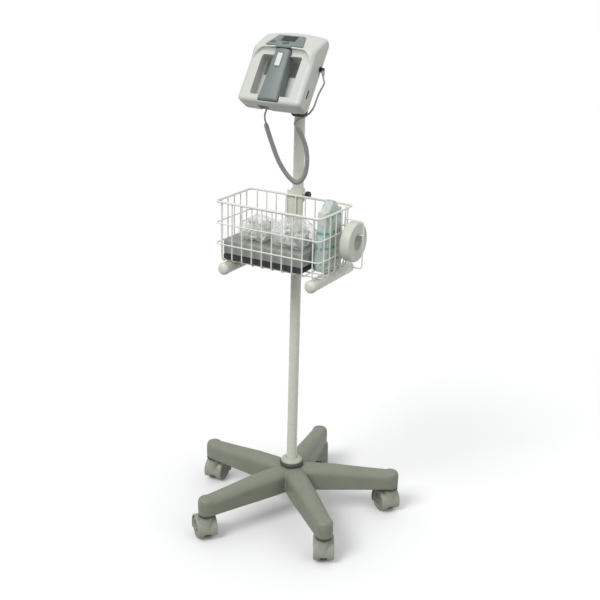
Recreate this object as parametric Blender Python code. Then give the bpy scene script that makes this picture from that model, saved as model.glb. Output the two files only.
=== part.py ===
"""Roll stand with a basket and a tilting thermometer console, its handset and curly cord.

Metres, +Z up, the console faces -Y. Shapes are laid out round the pole's axis, and the
whole is moved at the end so that the origin lies under the middle of its outline.
"""
import math

import bmesh
import bpy
from mathutils import Matrix, Vector

# ---------------------------------------------------------------- driving dimensions
POLE_R = 0.0127            # 25.4 mm tube
POLE_WALL = 0.0020
POLE_BOTTOM = 0.080
POLE_TOP = 1.046

ARM_COUNT = 5
ARM_FIRST_DEG = 30.73      # heading of the first arm, counter-clockwise from +X
STEM_RADIUS = 0.2534       # pole axis to a castor's swivel axis
ARM_BOTTOM = 0.072
ARM_TIP_TOP = 0.1165
HUB_TOP = 0.134
HUB_R = 0.040

WHEEL_R = 0.0275
WHEEL_W = 0.0140
WHEEL_GAP = 0.0190         # between the two wheels of a castor
CASTER_TRAIL = 0.0180      # swivel axis to axle
CASTER_HEADINGS_DEG = (145.0, 120.0, 95.0, 140.0, 120.0)
AXLE_R = 0.0030
STEM_R = 0.0050

BASKET_X = 0.0195          # basket centre
BASKET_W = 0.277
BASKET_D = 0.155
BASKET_BACK_GAP = 0.0041   # pole's surface to the basket's back
BASKET_Y = -(POLE_R + BASKET_BACK_GAP + BASKET_D / 2)
RIM_Z = 0.837
RING_Z = (0.787, 0.739)
BASKET_BOTTOM = 0.6965
RIM_R = 0.0027
WIRE_R = 0.0016
WIRE_STEP = 0.0262
WIRE_END = 0.0155          # least room between the last wire and the basket's corner
CORNER = RIM_R + WIRE_R + WIRE_END
WIRES_ACROSS = 1 + int((BASKET_W - 2 * CORNER) / WIRE_STEP)
WIRES_ALONG = 1 + int((BASKET_D - 2 * CORNER) / WIRE_STEP)

ARM_TUBE_R = 0.0138        # the two tubes under the basket
ARM_TUBE_INSET = 0.0240    # basket's end to the middle of the tube under it
ARM_TUBE_X = (BASKET_X - BASKET_W / 2 + ARM_TUBE_INSET,
              BASKET_X + BASKET_W / 2 - ARM_TUBE_INSET)
ARM_TUBE_Z = 0.6806
ARM_TUBE_FRONT = -0.1620
ARM_TUBE_BACK = 0.0120

HEAD_Y = -0.1442           # front bottom edge of the console
HEAD_Z = 1.0677
HEAD_TILT_DEG = 33.6       # face leans back from vertical
HEAD_W = 0.158
HALF_W = HEAD_W / 2
PART_N = -0.0300           # the joint between the two halves of the case
WALL = 0.0028
FACE_TOP_U = 0.1160        # where the lower face stops under the display's lip

CRADLE_X = 0.0500
CRADLE_U = (0.0170, 0.1120)
FLOOR_N = -0.0240
DEEP_X = 0.0475            # half width of the well behind the handset's upper end
DEEP_U = 0.0740
DEEP_N = -0.0455

HANDSET_W = (0.0500, 0.0360)   # lower end, upper end
HANDSET_U = (0.0012, 0.1265)
HANDSET_SPLIT = -0.0060
HANDSET_BACK = -0.0200

HINGE_U = 0.0583           # tilt axis in the console's own frame
HINGE_N = -0.0801
PIN_R = 0.0030
COLLAR_R = POLE_R + 0.0053
CORD_R = 0.0020
COIL_R = 0.00575
GAP = 0.0003

# outline of the whole object is centred on the origin by this shift
SHIFT_X = 0.0196
SHIFT_Y = -0.0210

T = math.radians(HEAD_TILT_DEG)
UP = Vector((0.0, math.sin(T), math.cos(T)))
OUT = Vector((0.0, -math.cos(T), math.sin(T)))
HEAD_AT = Vector((0.0, HEAD_Y, HEAD_Z))


def head(x, u, n):
    """A point of the console: x across, u up its face, n out of its face."""
    return HEAD_AT + Vector((x, 0, 0)) + UP * u + OUT * n


def handset_half(u):
    """Half the handset's width at a height u of the console."""
    k = (u - HANDSET_U[0]) / (HANDSET_U[1] - HANDSET_U[0])
    return (HANDSET_W[0] + (HANDSET_W[1] - HANDSET_W[0]) * k) / 2


# ---------------------------------------------------------------- helpers
for old in list(bpy.data.objects):
    bpy.data.objects.remove(old, do_unlink=True)

MATERIALS = {}


def material(name, colour, rough=0.5, metal=0.0, alpha=1.0):
    m = bpy.data.materials.new(name)
    m.use_nodes = True
    s = m.node_tree.nodes["Principled BSDF"]
    s.inputs["Base Color"].default_value = (*colour, 1.0)
    s.inputs["Roughness"].default_value = rough
    s.inputs["Metallic"].default_value = metal
    s.inputs["Alpha"].default_value = alpha
    m.diffuse_color = (*colour, alpha)
    return m


def make(name, verts, faces, look, smooth=None):
    """A closed mesh object with its own material; smooth is an angle in degrees."""
    mesh = bpy.data.meshes.new(name)
    mesh.from_pydata([tuple(v) for v in verts], [], faces)
    mesh.update()
    bm = bmesh.new()
    bm.from_mesh(mesh)
    bmesh.ops.remove_doubles(bm, verts=bm.verts, dist=0.00001)
    bmesh.ops.recalc_face_normals(bm, faces=bm.faces)
    bm.to_mesh(mesh)
    bm.free()
    o = bpy.data.objects.new(name, mesh)
    bpy.context.scene.collection.objects.link(o)
    if look:
        mesh.materials.append(material(name, *look))
    if smooth:
        shade(o, smooth)
    return o


def shade(o, degrees=35.0):
    o.data.polygons.foreach_set("use_smooth", [True] * len(o.data.polygons))
    o.data.set_sharp_from_angle(angle=math.radians(degrees))


def loft(name, rings, look, smooth=None, closed=False):
    """Skin through rings of the same number of points, with flat ends unless closed."""
    k = len(rings[0])
    verts = [p for ring in rings for p in ring]
    count = len(rings)
    faces = []
    for i in range(count if closed else count - 1):
        a, b = i * k, ((i + 1) % count) * k
        for j in range(k):
            q = (j + 1) % k
            faces.append((a + j, a + q, b + q, b + j))
    if not closed:
        faces.append(tuple(range(k))[::-1])
        faces.append(tuple(range((count - 1) * k, count * k)))
    return make(name, verts, faces, look, smooth)


def prism(name, outline, place, low, high, look, smooth=None):
    """An outline extruded between two heights; place turns (a, b, height) into a point."""
    return loft(name, [[place(a, b, h) for a, b in outline] for h in (low, high)],
                look, smooth)


def box(name, low, high, look=None, place=None):
    place = place or (lambda x, y, z: Vector((x, y, z)))
    outline = [(low[0], low[1]), (high[0], low[1]), (high[0], high[1]), (low[0], high[1])]
    return prism(name, outline, place, low[2], high[2], look)


def frame_of(axis):
    axis = Vector(axis).normalized()
    side = Vector((0, 0, 1)) if abs(axis.z) < 0.9 else Vector((1, 0, 0))
    a = side.cross(axis).normalized()
    return a, axis.cross(a), axis


def lathe(name, profile, at, axis, look, sides=24, smooth=35.0, turn=0.0):
    """Profile points (radius, height) turned about an axis. A radius of 0 closes an end."""
    a, b, c = frame_of(axis)
    at = Vector(at)
    verts, rings = [], []
    for r, h in profile:
        if r < 1e-7:
            rings.append([len(verts)])
            verts.append(at + c * h)
        else:
            rings.append(list(range(len(verts), len(verts) + sides)))
            for i in range(sides):
                w = 2 * math.pi * (i + turn) / sides
                verts.append(at + a * (r * math.cos(w)) + b * (r * math.sin(w)) + c * h)
    faces = []
    pairs = list(zip(rings, rings[1:]))
    if profile[0][0] > 1e-7 and profile[-1][0] > 1e-7:
        pairs.append((rings[-1], rings[0]))
    for p, q in pairs:
        for i in range(sides):
            j = (i + 1) % sides
            if len(p) == 1:
                faces.append((p[0], q[j], q[i]))
            elif len(q) == 1:
                faces.append((p[i], p[j], q[0]))
            else:
                faces.append((p[i], p[j], q[j], q[i]))
    return make(name, verts, faces, look, smooth)


def rod(name, start, end, radius, look=None, sides=24, smooth=35.0, turn=0.0):
    start, end = Vector(start), Vector(end)
    long = (end - start).length
    return lathe(name, [(0, 0), (radius, 0), (radius, long), (0, long)], start, end - start,
                 look, sides, smooth, turn)


def wire(name, points, radius, sides=8, closed=False, look=None, smooth=40.0):
    """A round bar along a path, its rings carried along without twist."""
    pts = [Vector(p) for p in points]
    count = len(pts)
    rings, side = [], None
    for i, p in enumerate(pts):
        if closed:
            d = (pts[(i + 1) % count] - pts[i - 1]).normalized()
        elif i == 0:
            d = (pts[1] - p).normalized()
        elif i == count - 1:
            d = (p - pts[-2]).normalized()
        else:
            d = (pts[i + 1] - pts[i - 1]).normalized()
        if side is None:
            side = frame_of(d)[0]
        side = (side - d * side.dot(d)).normalized()
        other = d.cross(side)
        ring = []
        for k in range(sides):
            w = 2 * math.pi * (k + 0.5) / sides
            ring.append(p + side * (radius * math.cos(w)) + other * (radius * math.sin(w)))
        rings.append(ring)
    return loft(name, rings, look, smooth, closed)


def boolean(o, tool, kind="DIFFERENCE", keep=False):
    m = o.modifiers.new("cut", "BOOLEAN")
    m.operation = kind
    m.solver = "EXACT"
    m.object = tool
    deps = bpy.context.evaluated_depsgraph_get()
    done = bpy.data.meshes.new_from_object(o.evaluated_get(deps), depsgraph=deps)
    o.modifiers.remove(m)
    old, o.data = o.data, done
    done.name = o.name
    bpy.data.meshes.remove(old)
    if not keep:
        bpy.data.objects.remove(tool, do_unlink=True)
    tidy(o)
    return o


def tidy(o, dist=0.00002):
    bm = bmesh.new()
    bm.from_mesh(o.data)
    bmesh.ops.remove_doubles(bm, verts=bm.verts, dist=dist)
    bmesh.ops.dissolve_limit(bm, angle_limit=math.radians(0.2), verts=bm.verts,
                             edges=bm.edges)
    bm.to_mesh(o.data)
    bm.free()


def cut(o, *tools):
    for tool in tools:
        boolean(o, tool)
    return o


def weld(o, *others):
    for other in others:
        boolean(o, other, "UNION")
    return o


def inset(points, e, spine):
    """A closed outline drawn in by e towards the nearest point of a spine inside it."""
    a, b = Vector(spine[0]), Vector(spine[1])
    out = []
    for p in points:
        p = Vector(p)
        along = (b - a).dot(p - a) / max((b - a).length_squared, 1e-12)
        d = a.lerp(b, min(1.0, max(0.0, along))) - p
        out.append(tuple(p + d * min(0.85, e / d.length)))
    return out


def round_rect(w, d, r, steps=3, at=(0.0, 0.0)):
    """A rectangle w by d with corner radius r, as an outline."""
    out = []
    corners = ((1, 1, 0), (-1, 1, 90), (-1, -1, 180), (1, -1, 270))
    for sx, sy, start in corners:
        cx, cy = at[0] + sx * (w / 2 - r), at[1] + sy * (d / 2 - r)
        for k in range(steps + 1):
            g = math.radians(start + 90.0 * k / steps)
            out.append((cx + r * math.cos(g), cy + r * math.sin(g)))
    return out


def pivot(o, at):
    """Move an object's origin without moving its mesh."""
    at = Vector(at)
    o.data.transform(Matrix.Translation(-(at - o.location)))
    o.location = at
    return o


def group(name, at):
    e = bpy.data.objects.new(name, None)
    e.empty_display_size = 0.02
    e.location = at
    bpy.context.scene.collection.objects.link(e)
    return e


# ---------------------------------------------------------------- star base
GREY = ((0.300, 0.318, 0.262), 0.62)
GREY_LIGHT = ((0.400, 0.418, 0.352), 0.50)
WHITE = ((0.760, 0.780, 0.690), 0.35)
BLACK = ((0.012, 0.012, 0.013), 0.45)
CASE = ((0.700, 0.720, 0.660), 0.40)
TRIM = ((0.262, 0.312, 0.292), 0.50)
METAL = ((0.560, 0.570, 0.560), 0.30, 1.0)


def arm_section(r, w, top, heading):
    """Cross-section of an arm: flat below, straight flanks and a rounded back."""
    c, s = math.cos(heading), math.sin(heading)
    low = min(0.55 * w, 0.6 * (top - ARM_BOTTOM))
    half = [(w, ARM_BOTTOM), (w, top - low), (0.90 * w, top - 0.50 * low),
            (0.60 * w, top - 0.13 * low), (0.0, top)]
    ring = half + [(-y, z) for y, z in half[-2::-1]]
    return [Vector((r * c - y * s, r * s + y * c, z)) for y, z in ring]


def star_base():
    slope = HUB_TOP + 0.004 - ARM_TIP_TOP
    o = lathe("star_base", [(0, ARM_BOTTOM), (HUB_R, ARM_BOTTOM), (HUB_R, HUB_TOP - 0.012),
                            (HUB_R - 0.005, HUB_TOP - 0.003), (0.0305, HUB_TOP),
                            (0, HUB_TOP)],
              (0, 0, 0), (0, 0, 1), GREY, sides=30)
    for i in range(ARM_COUNT):
        g = math.radians(ARM_FIRST_DEG + 72.0 * i)
        stations = [(0.012, 0.0250, HUB_TOP - 0.001), (0.060, 0.0280, HUB_TOP - 0.002),
                    (0.110, 0.0262, ARM_TIP_TOP + 0.62 * slope),
                    (0.180, 0.0238, ARM_TIP_TOP + 0.30 * slope),
                    (STEM_RADIUS, 0.0218, ARM_TIP_TOP),
                    (STEM_RADIUS + 0.0090, 0.0198, ARM_TIP_TOP - 0.0018),
                    (STEM_RADIUS + 0.0160, 0.0148, ARM_TIP_TOP - 0.0060),
                    (STEM_RADIUS + 0.0205, 0.0075, ARM_TIP_TOP - 0.0120)]
        weld(o, loft("arm", [arm_section(r, w, t, g) for r, w, t in stations], None))
    for i in range(ARM_COUNT):
        g = math.radians(ARM_FIRST_DEG + 72.0 * i)
        x, y = STEM_RADIUS * math.cos(g), STEM_RADIUS * math.sin(g)
        cut(o, rod("bore", (x, y, ARM_BOTTOM - 0.01), (x, y, ARM_BOTTOM + 0.026),
                   STEM_R + 0.0001, sides=20))
    cut(o, rod("bore", (0, 0, POLE_BOTTOM - GAP), (0, 0, 0.2), POLE_R + GAP, sides=24))
    shade(o, 38)
    return o


star_base()
lathe("hub_ring", [(POLE_R + 0.0008, 0.1343), (0.0295, 0.1343), (0.0295, 0.1400), (0.0275, 0.1425),
                   (POLE_R + 0.0008, 0.1425)], (0, 0, 0), (0, 0, 1), ((0.055, 0.060, 0.055), 0.6),
      sides=28)
lathe("hub_collar", [(POLE_R + 0.0004, 0.1428), (0.0262, 0.1428), (0.0262, 0.1470),
                     (0.0235, 0.1505), (POLE_R + 0.0033, 0.1520),
                     (POLE_R + 0.0004, 0.1520)],
      (0, 0, 0), (0, 0, 1), ((0.62, 0.65, 0.58), 0.45), sides=28)
lathe("pole", [(POLE_R - POLE_WALL, POLE_BOTTOM), (POLE_R, POLE_BOTTOM),
               (POLE_R, POLE_TOP), (POLE_R - POLE_WALL, POLE_TOP)],
      (0, 0, 0), (0, 0, 1), WHITE, sides=24)


# ---------------------------------------------------------------- castors
def caster_hood():
    """Hood in its own frame: swivel axis on Z, axle along Y, wheels trail towards +X."""
    axle = (CASTER_TRAIL, WHEEL_R)
    reach = 0.0325
    flat = [(axle[0] + reach * math.cos(math.radians(a)),
             axle[1] + reach * math.sin(math.radians(a)))
            for a in (-28, -5, 18, 41, 64, 87, 110, 133, 156, 182, 208)]
    rings = []
    for y, e in ((-0.0250, 0.0050), (-0.0238, 0.0020), (-0.0205, 0.0), (0.0205, 0.0),
                 (0.0238, 0.0020), (0.0250, 0.0050)):
        rings.append([Vector((x, y, z)) for x, z in inset(flat, e, (axle, axle))])
    o = loft("hood", rings, None)
    weld(o, lathe("boss", [(0, 0.040), (0.0120, 0.040), (0.0120, 0.0625), (0.0105, 0.0662),
                           (0, 0.0662)], (0, 0, 0), (0, 0, 1), None, sides=20))
    at = Vector((axle[0], 0, axle[1]))
    for side in (-1, 1):
        cut(o, rod("pocket", at + Vector((0, side * (WHEEL_GAP / 2 - 0.0012), 0)),
                   at + Vector((0, side * 0.04, 0)), WHEEL_R + 0.0014, sides=24))
    cut(o, rod("axle", at + Vector((0, -0.03, 0)), at + Vector((0, 0.03, 0)),
               AXLE_R + 0.0001, sides=20))
    cut(o, rod("stem", (0, 0, 0.0497), (0, 0, 0.08), STEM_R + GAP, sides=20))
    return o


def caster_wheels():
    """Two wheels on one axle, in the axle's own frame (axis along Y)."""
    half = WHEEL_GAP / 2
    outer = half + WHEEL_W
    r = WHEEL_R
    prof = [(0, -outer + 0.0030), (0.0175, -outer + 0.0030), (0.0195, -outer),
            (r - 0.0025, -outer), (r, -outer + 0.0025), (r, -half - 0.0012),
            (r - 0.0012, -half), (AXLE_R, -half)]
    prof = prof + [(a, -b) for a, b in prof[::-1]]
    return lathe("wheels", prof, (0, 0, 0), (0, 1, 0), None, sides=20)


hood_mesh = caster_hood()
wheel_mesh = caster_wheels()
for i in range(ARM_COUNT):
    g = math.radians(ARM_FIRST_DEG + 72.0 * i)
    at = Vector((STEM_RADIUS * math.cos(g), STEM_RADIUS * math.sin(g), 0))
    turn = math.radians(CASTER_HEADINGS_DEG[i])
    spin = Matrix.Rotation(turn, 4, "Z")
    number = i + 1
    swivel = group("swivel_%d" % number, at)
    for name, source, offset in (("caster_hood_%d" % number, hood_mesh, Vector()),
                                 ("caster_wheels_%d" % number, wheel_mesh,
                                  Vector((CASTER_TRAIL, 0, WHEEL_R)))):
        mesh = source.data.copy()
        mesh.name = name
        mesh.transform(spin)
        mesh.materials.clear()
        look = GREY_LIGHT if source is hood_mesh else ((0.330, 0.345, 0.290), 0.55)
        mesh.materials.append(material(name, *look))
        o = bpy.data.objects.new(name, mesh)
        bpy.context.scene.collection.objects.link(o)
        o.parent = swivel
        o.location = spin @ offset
        shade(o, 35)
    stem = lathe("caster_stem_%d" % number,
                 [(0, 0.0500), (STEM_R, 0.0500), (STEM_R, 0.0666), (0.0095, 0.0666),
                  (0.0095, 0.0717), (STEM_R, 0.0717), (STEM_R, 0.0950), (0.0040, 0.0965),
                  (0, 0.0965)], (0, 0, 0), (0, 0, 1), METAL, sides=20)
    stem.parent = swivel
for o in (hood_mesh, wheel_mesh):
    bpy.data.objects.remove(o, do_unlink=True)


# ---------------------------------------------------------------- basket
def loop_path(z, w, d, r=0.012, steps=2):
    return [(x, y, z) for x, y in round_rect(w, d, r, steps, (BASKET_X, BASKET_Y))]


def trough_path(a0, a1, low, top, place, r=0.009, steps=2):
    """Down one side, across the bottom and up the other."""
    pts = [place(a0, top)]
    for k in range(steps + 1):
        g = math.pi + (math.pi / 2) * k / steps
        pts.append(place(a0 + r + r * math.cos(g), low + r + r * math.sin(g)))
    for k in range(steps + 1):
        g = 1.5 * math.pi + (math.pi / 2) * k / steps
        pts.append(place(a1 - r + r * math.cos(g), low + r + r * math.sin(g)))
    pts.append(place(a1, top))
    return pts


def join(name, parts):
    """Loose pieces that don't touch one another, as one object."""
    verts, faces = [], []
    for p in parts:
        base = len(verts)
        verts += [v.co.copy() for v in p.data.vertices]
        faces += [tuple(base + i for i in f.vertices) for f in p.data.polygons]
        bpy.data.objects.remove(p, do_unlink=True)
    return make(name, verts, faces, None)


def wire_basket():
    inner_w = BASKET_W - 2 * RIM_R - 2 * WIRE_R
    inner_d = BASKET_D - 2 * RIM_R - 2 * WIRE_R
    x0, x1 = BASKET_X - inner_w / 2, BASKET_X + inner_w / 2
    y0, y1 = BASKET_Y - inner_d / 2, BASKET_Y + inner_d / 2
    across = []
    for i in range(WIRES_ACROSS):
        x = BASKET_X + (i - (WIRES_ACROSS - 1) / 2) * WIRE_STEP
        across.append(wire("w", trough_path(y0, y1, BASKET_BOTTOM + 0.0024, RIM_Z,
                                            lambda a, z, x=x: (x, a, z)), WIRE_R, 6))
    along = []
    for i in range(WIRES_ALONG):
        y = BASKET_Y + (i - (WIRES_ALONG - 1) / 2) * WIRE_STEP
        along.append(wire("w", trough_path(x0, x1, BASKET_BOTTOM, RIM_Z,
                                           lambda a, z, y=y: (a, y, z)), WIRE_R, 6))
    rings = [wire("w", loop_path(z, inner_w + 0.0048, inner_d + 0.0048), WIRE_R, 6, True)
             for z in RING_Z]
    rings.append(wire("w", loop_path(RIM_Z, inner_w + 0.0034, inner_d + 0.0034), RIM_R, 8,
                      True))
    o = join("basket", across)
    weld(o, join("along", along), join("rings", rings))
    o.data.materials.append(material("basket", *WHITE))
    shade(o, 50)
    return o


wire_basket()
LEFT_X, RIGHT_X = BASKET_X - BASKET_W / 2, BASKET_X + BASKET_W / 2
FRONT_Y, BACK_Y = BASKET_Y - BASKET_D / 2, BASKET_Y + BASKET_D / 2

# bracket: a plate on the basket's back wires and a collar round the pole
CLAMP_LOW, CLAMP_TOP, CLAMP_MID = 0.8200, 0.8500, 0.8385
bracket = box("basket_bracket", (-0.0200, BACK_Y + GAP, 0.7650),
              (0.0200, BACK_Y + 0.0026, 0.8480), WHITE)
clamp = lathe("pole_clamp", [(POLE_R + GAP, CLAMP_LOW), (POLE_R + 0.0038, CLAMP_LOW),
                             (POLE_R + 0.0038, CLAMP_TOP), (POLE_R + GAP, CLAMP_TOP)],
              (0, 0, 0), (0, 0, 1), WHITE, sides=24)
weld(clamp, rod("b", (POLE_R + 0.0018, 0, CLAMP_MID), (POLE_R + 0.0088, 0, CLAMP_MID),
                0.0062, sides=16))
cut(clamp, rod("h", (POLE_R - 0.0027, 0, CLAMP_MID), (POLE_R + 0.0173, 0, CLAMP_MID),
               0.0024, sides=16),
    box("f", (-0.0300, -0.0300, 0.8000), (0.0300, BACK_Y + 0.0026 + GAP, 0.8700)))
shade(clamp)

# clamp screw with its knob
screw = lathe("clamp_screw", [(0, -0.0085), (0.0022, -0.0085), (0.0022, 0.0003),
                              (0.0066, 0.0003), (0.0078, 0.0015), (0.0078, 0.0090),
                              (0.0066, 0.0105), (0, 0.0105)],
              (POLE_R + 0.0091, 0, CLAMP_MID), (1, 0, 0), BLACK, sides=16)
pivot(screw, (POLE_R + 0.0091, 0, CLAMP_MID))

# ---------------------------------------------------------------- frame below the basket
support = rod("support_frame", (ARM_TUBE_X[0], ARM_TUBE_FRONT, ARM_TUBE_Z),
              (ARM_TUBE_X[0], ARM_TUBE_BACK, ARM_TUBE_Z), ARM_TUBE_R, WHITE, sides=20)
other = rod("o", (ARM_TUBE_X[1], ARM_TUBE_FRONT, ARM_TUBE_Z),
            (ARM_TUBE_X[1], ARM_TUBE_BACK, ARM_TUBE_Z), ARM_TUBE_R, None, sides=20)
bar = rod("b", (ARM_TUBE_X[0], -0.0300, ARM_TUBE_Z), (ARM_TUBE_X[1], -0.0300, ARM_TUBE_Z),
          0.0090, None, sides=16)
weld(support, bar, other)
shade(support)
for side, x in zip(("left", "right"), ARM_TUBE_X):
    lathe("tube_cap_" + side,
          [(0, GAP), (ARM_TUBE_R + 0.0007, GAP), (ARM_TUBE_R + 0.0007, 0.0060),
           (0.0120, 0.0105), (0.0070, 0.0133), (0, 0.0142)],
          (x, ARM_TUBE_FRONT, ARM_TUBE_Z), (0, -1, 0), ((0.70, 0.72, 0.64), 0.4), sides=20)

block = box("frame_clamp", (-POLE_R - 0.0083, -POLE_R - 0.0073, ARM_TUBE_Z - 0.0150),
            (POLE_R + 0.0083, POLE_R + 0.0063, ARM_TUBE_Z + 0.0125), WHITE)
weld(block, box("b", (-0.0150, -0.0420, ARM_TUBE_Z - 0.0150),
                (0.0150, -0.0190, ARM_TUBE_Z + 0.0125)))
cut(block, rod("p", (0, 0, 0.6), (0, 0, 0.8), POLE_R + GAP, sides=24),
    rod("x", (-0.05, -0.0300, ARM_TUBE_Z), (0.05, -0.0300, ARM_TUBE_Z), 0.0090 + GAP,
        sides=16))

# ---------------------------------------------------------------- what the basket carries
FLOOR = BASKET_BOTTOM + 0.0024 + WIRE_R + GAP
BOX_X = (LEFT_X + 0.0140, RIGHT_X - 0.0540)
BOX_Y = (FRONT_Y + 0.0158, BACK_Y - 0.0412)
BOX_MID = (BOX_X[0] + BOX_X[1]) / 2
BOX_H = 0.0460
BASE_H = 0.0125


def soft_box(name, low, high, r, look, bulge=0.0):
    """A box with rounded upright edges and rounded top and bottom."""
    w, d = high[0] - low[0], high[1] - low[1]
    at = ((low[0] + high[0]) / 2, (low[1] + high[1]) / 2)
    rings = []
    steps = ((0.0, r), (0.3 * r, 0.3 * r), (r, 0.0))
    heights = [(low[2] + h, e) for h, e in steps] + [(high[2] - h, e) for h, e in steps[::-1]]
    for z, e in heights:
        mid = 1.0 - abs((z - low[2]) / (high[2] - low[2]) * 2 - 1)
        grow = bulge * mid
        rings.append([Vector((x, y, z)) for x, y in
                      round_rect(w - 2 * e + grow, d - 2 * e + grow,
                                 max(r * 0.9 - e * 0.5, 0.001), 2, at)])
    return loft(name, rings, look, 40)


soft_box("unit_base", (BOX_X[0] + 0.0010, BOX_Y[0] + 0.0010, FLOOR),
         (BOX_X[1] - 0.0010, BOX_Y[1] - 0.0010, FLOOR + BASE_H), 0.0015, BLACK)
soft_box("unit_cover", (BOX_X[0], BOX_Y[0], FLOOR + BASE_H + GAP),
         (BOX_X[1], BOX_Y[1], FLOOR + BOX_H), 0.0035, ((0.355, 0.385, 0.355), 0.5))
CLEAR = ((0.78, 0.82, 0.78), 0.25)
BAG_Z = FLOOR + BOX_H + GAP
soft_box("refill_bag_left", (BOX_X[0] + 0.0270, BOX_Y[0] + 0.0080, BAG_Z),
         (BOX_MID + 0.0065, BOX_Y[1] - 0.0060, BAG_Z + 0.0560), 0.0180, CLEAR, 0.004)
soft_box("refill_bag_right", (BOX_MID + 0.0115, BOX_Y[0] + 0.0060, BAG_Z),
         (BOX_X[1] - 0.0040, BOX_Y[1] - 0.0080, BAG_Z + 0.0640), 0.0180, CLEAR, 0.004)
soft_box("cover_pack", (RIGHT_X - 0.0450, FRONT_Y + 0.0378, FLOOR),
         (RIGHT_X - 0.0120, BACK_Y - 0.0212, FLOOR + 0.1680),
         0.0120, ((0.62, 0.75, 0.71), 0.3), 0.004)

# ---------------------------------------------------------------- side loop and its ring
SIDE_X = RIGHT_X
LOOP_Y = BASKET_Y + 0.0303
LOOP_TOP = 0.8170
LOOP_LOW = 0.7080
LOOP_OUT = SIDE_X + 0.0480
PEG_Z = 0.7850
HOLE_R = 0.0190
RING_OUT_R = 0.0450


def side_loop():
    r = 0.0060
    x0 = SIDE_X + 0.0012
    path = [(x0, LOOP_Y, LOOP_TOP - r), (x0 + 0.3 * r, LOOP_Y, LOOP_TOP - 0.3 * r),
            (x0 + r, LOOP_Y, LOOP_TOP), (LOOP_OUT - r, LOOP_Y, LOOP_TOP),
            (LOOP_OUT - 0.3 * r, LOOP_Y, LOOP_TOP - 0.3 * r), (LOOP_OUT, LOOP_Y, LOOP_TOP - r),
            (LOOP_OUT, LOOP_Y, LOOP_LOW + r),
            (LOOP_OUT - 0.3 * r, LOOP_Y, LOOP_LOW + 0.3 * r), (LOOP_OUT - r, LOOP_Y, LOOP_LOW),
            (x0 + r, LOOP_Y, LOOP_LOW), (x0 + 0.3 * r, LOOP_Y, LOOP_LOW + 0.3 * r),
            (x0, LOOP_Y, LOOP_LOW + r)]
    o = wire("side_loop", path, 0.0015, 8, True, WHITE)
    weld(o, rod("p", (x0, LOOP_Y, PEG_Z), (LOOP_OUT, LOOP_Y, PEG_Z), 0.0013, None, sides=8))
    shade(o, 50)
    return o


side_loop()
PEG_R = 0.0013
ring = lathe("refill_ring",
             [(HOLE_R, -0.0110), (HOLE_R + 0.003, -0.0125), (RING_OUT_R - 0.004, -0.0125),
              (RING_OUT_R, -0.0085), (RING_OUT_R, 0.0085), (RING_OUT_R - 0.004, 0.0125),
              (HOLE_R + 0.003, 0.0125), (HOLE_R, 0.0110)],
             (SIDE_X + 0.0240, LOOP_Y, PEG_Z + PEG_R + GAP - HOLE_R), (1, 0, 0),
             ((0.74, 0.77, 0.70), 0.4), sides=32)
pivot(ring, (SIDE_X + 0.0240, LOOP_Y, PEG_Z))


# ---------------------------------------------------------------- neck on the pole's top
def yz(x_low, x_high, outline, name, look=None, smooth=None):
    return prism(name, outline, lambda a, b, h: Vector((h, a, b)), x_low, x_high, look,
                 smooth)


HINGE = head(0, HINGE_U, HINGE_N)
COLLAR_LOW = 1.0190
COLLAR_TOP = 1.0520

neck = lathe("neck", [(0, COLLAR_LOW), (COLLAR_R - 0.001, COLLAR_LOW),
                      (COLLAR_R, COLLAR_LOW + 0.001), (COLLAR_R, COLLAR_TOP - 0.001),
                      (COLLAR_R - 0.001, COLLAR_TOP), (0, COLLAR_TOP)],
             (0, 0, 0), (0, 0, 1), BLACK, sides=24)
EAR_IN, EAR_OUT = 0.0106, 0.0166


def ear_outline(r=0.0090):
    arc = [(HINGE.y + r * math.cos(math.radians(a)), HINGE.z + r * math.sin(math.radians(a)))
           for a in (-20, 10, 40, 70, 100, 130, 160, 190, 220)]
    return arc + [(-0.0300, 1.0460), (-0.0120, 1.0440), (-0.0100, 1.0560)]


for sign in (-1, 1):
    low, high = sorted((sign * EAR_IN, sign * EAR_OUT))
    weld(neck, yz(low, high, ear_outline(), "e"))
weld(neck, yz(-EAR_OUT, EAR_OUT, [(-0.0300, 1.0400), (-0.0060, 1.0400), (-0.0060, 1.0560),
                                  (-0.0190, 1.0560), (-0.0300, 1.0480)], "b"))
cut(neck, rod("b", (0, 0, 1.0), (0, 0, POLE_TOP + GAP), POLE_R + GAP, sides=24))
cut(neck, rod("p", (-0.03, HINGE.y, HINGE.z), (0.03, HINGE.y, HINGE.z), PIN_R + 0.0001,
              sides=20),
    rod("s", (0, -POLE_R - 0.0009, 1.0290), (0, -COLLAR_R - 0.0120, 1.0290), 0.0026,
        sides=16))
shade(neck)
pivot(neck, (0, 0, COLLAR_LOW))

# swivel lock knob in front of the collar
lock = lathe("lock_knob", [(0, POLE_R + 0.0015), (0.0023, POLE_R + 0.0015),
                           (0.0023, COLLAR_R + 0.0006), (0.0066, COLLAR_R + 0.0006),
                           (0.0082, COLLAR_R + 0.0020), (0.0082, COLLAR_R + 0.0090),
                           (0.0066, COLLAR_R + 0.0110), (0, COLLAR_R + 0.0110)],
             (0, 0, 1.0290), (0, -1, 0), BLACK, sides=16)
pivot(lock, (0, -COLLAR_R - 0.0050, 1.0290))

# tilt pin with its knob
tilt = lathe("tilt_knob", [(0, -0.0215), (0.0050, -0.0215), (0.0050, -0.0172),
                           (PIN_R, -0.0172), (PIN_R, 0.0172), (0.0075, 0.0172),
                           (0.0090, 0.0186), (0.0090, 0.0270), (0.0075, 0.0290),
                           (0, 0.0290)],
             HINGE, (1, 0, 0), BLACK, sides=20)
pivot(tilt, HINGE)


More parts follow.
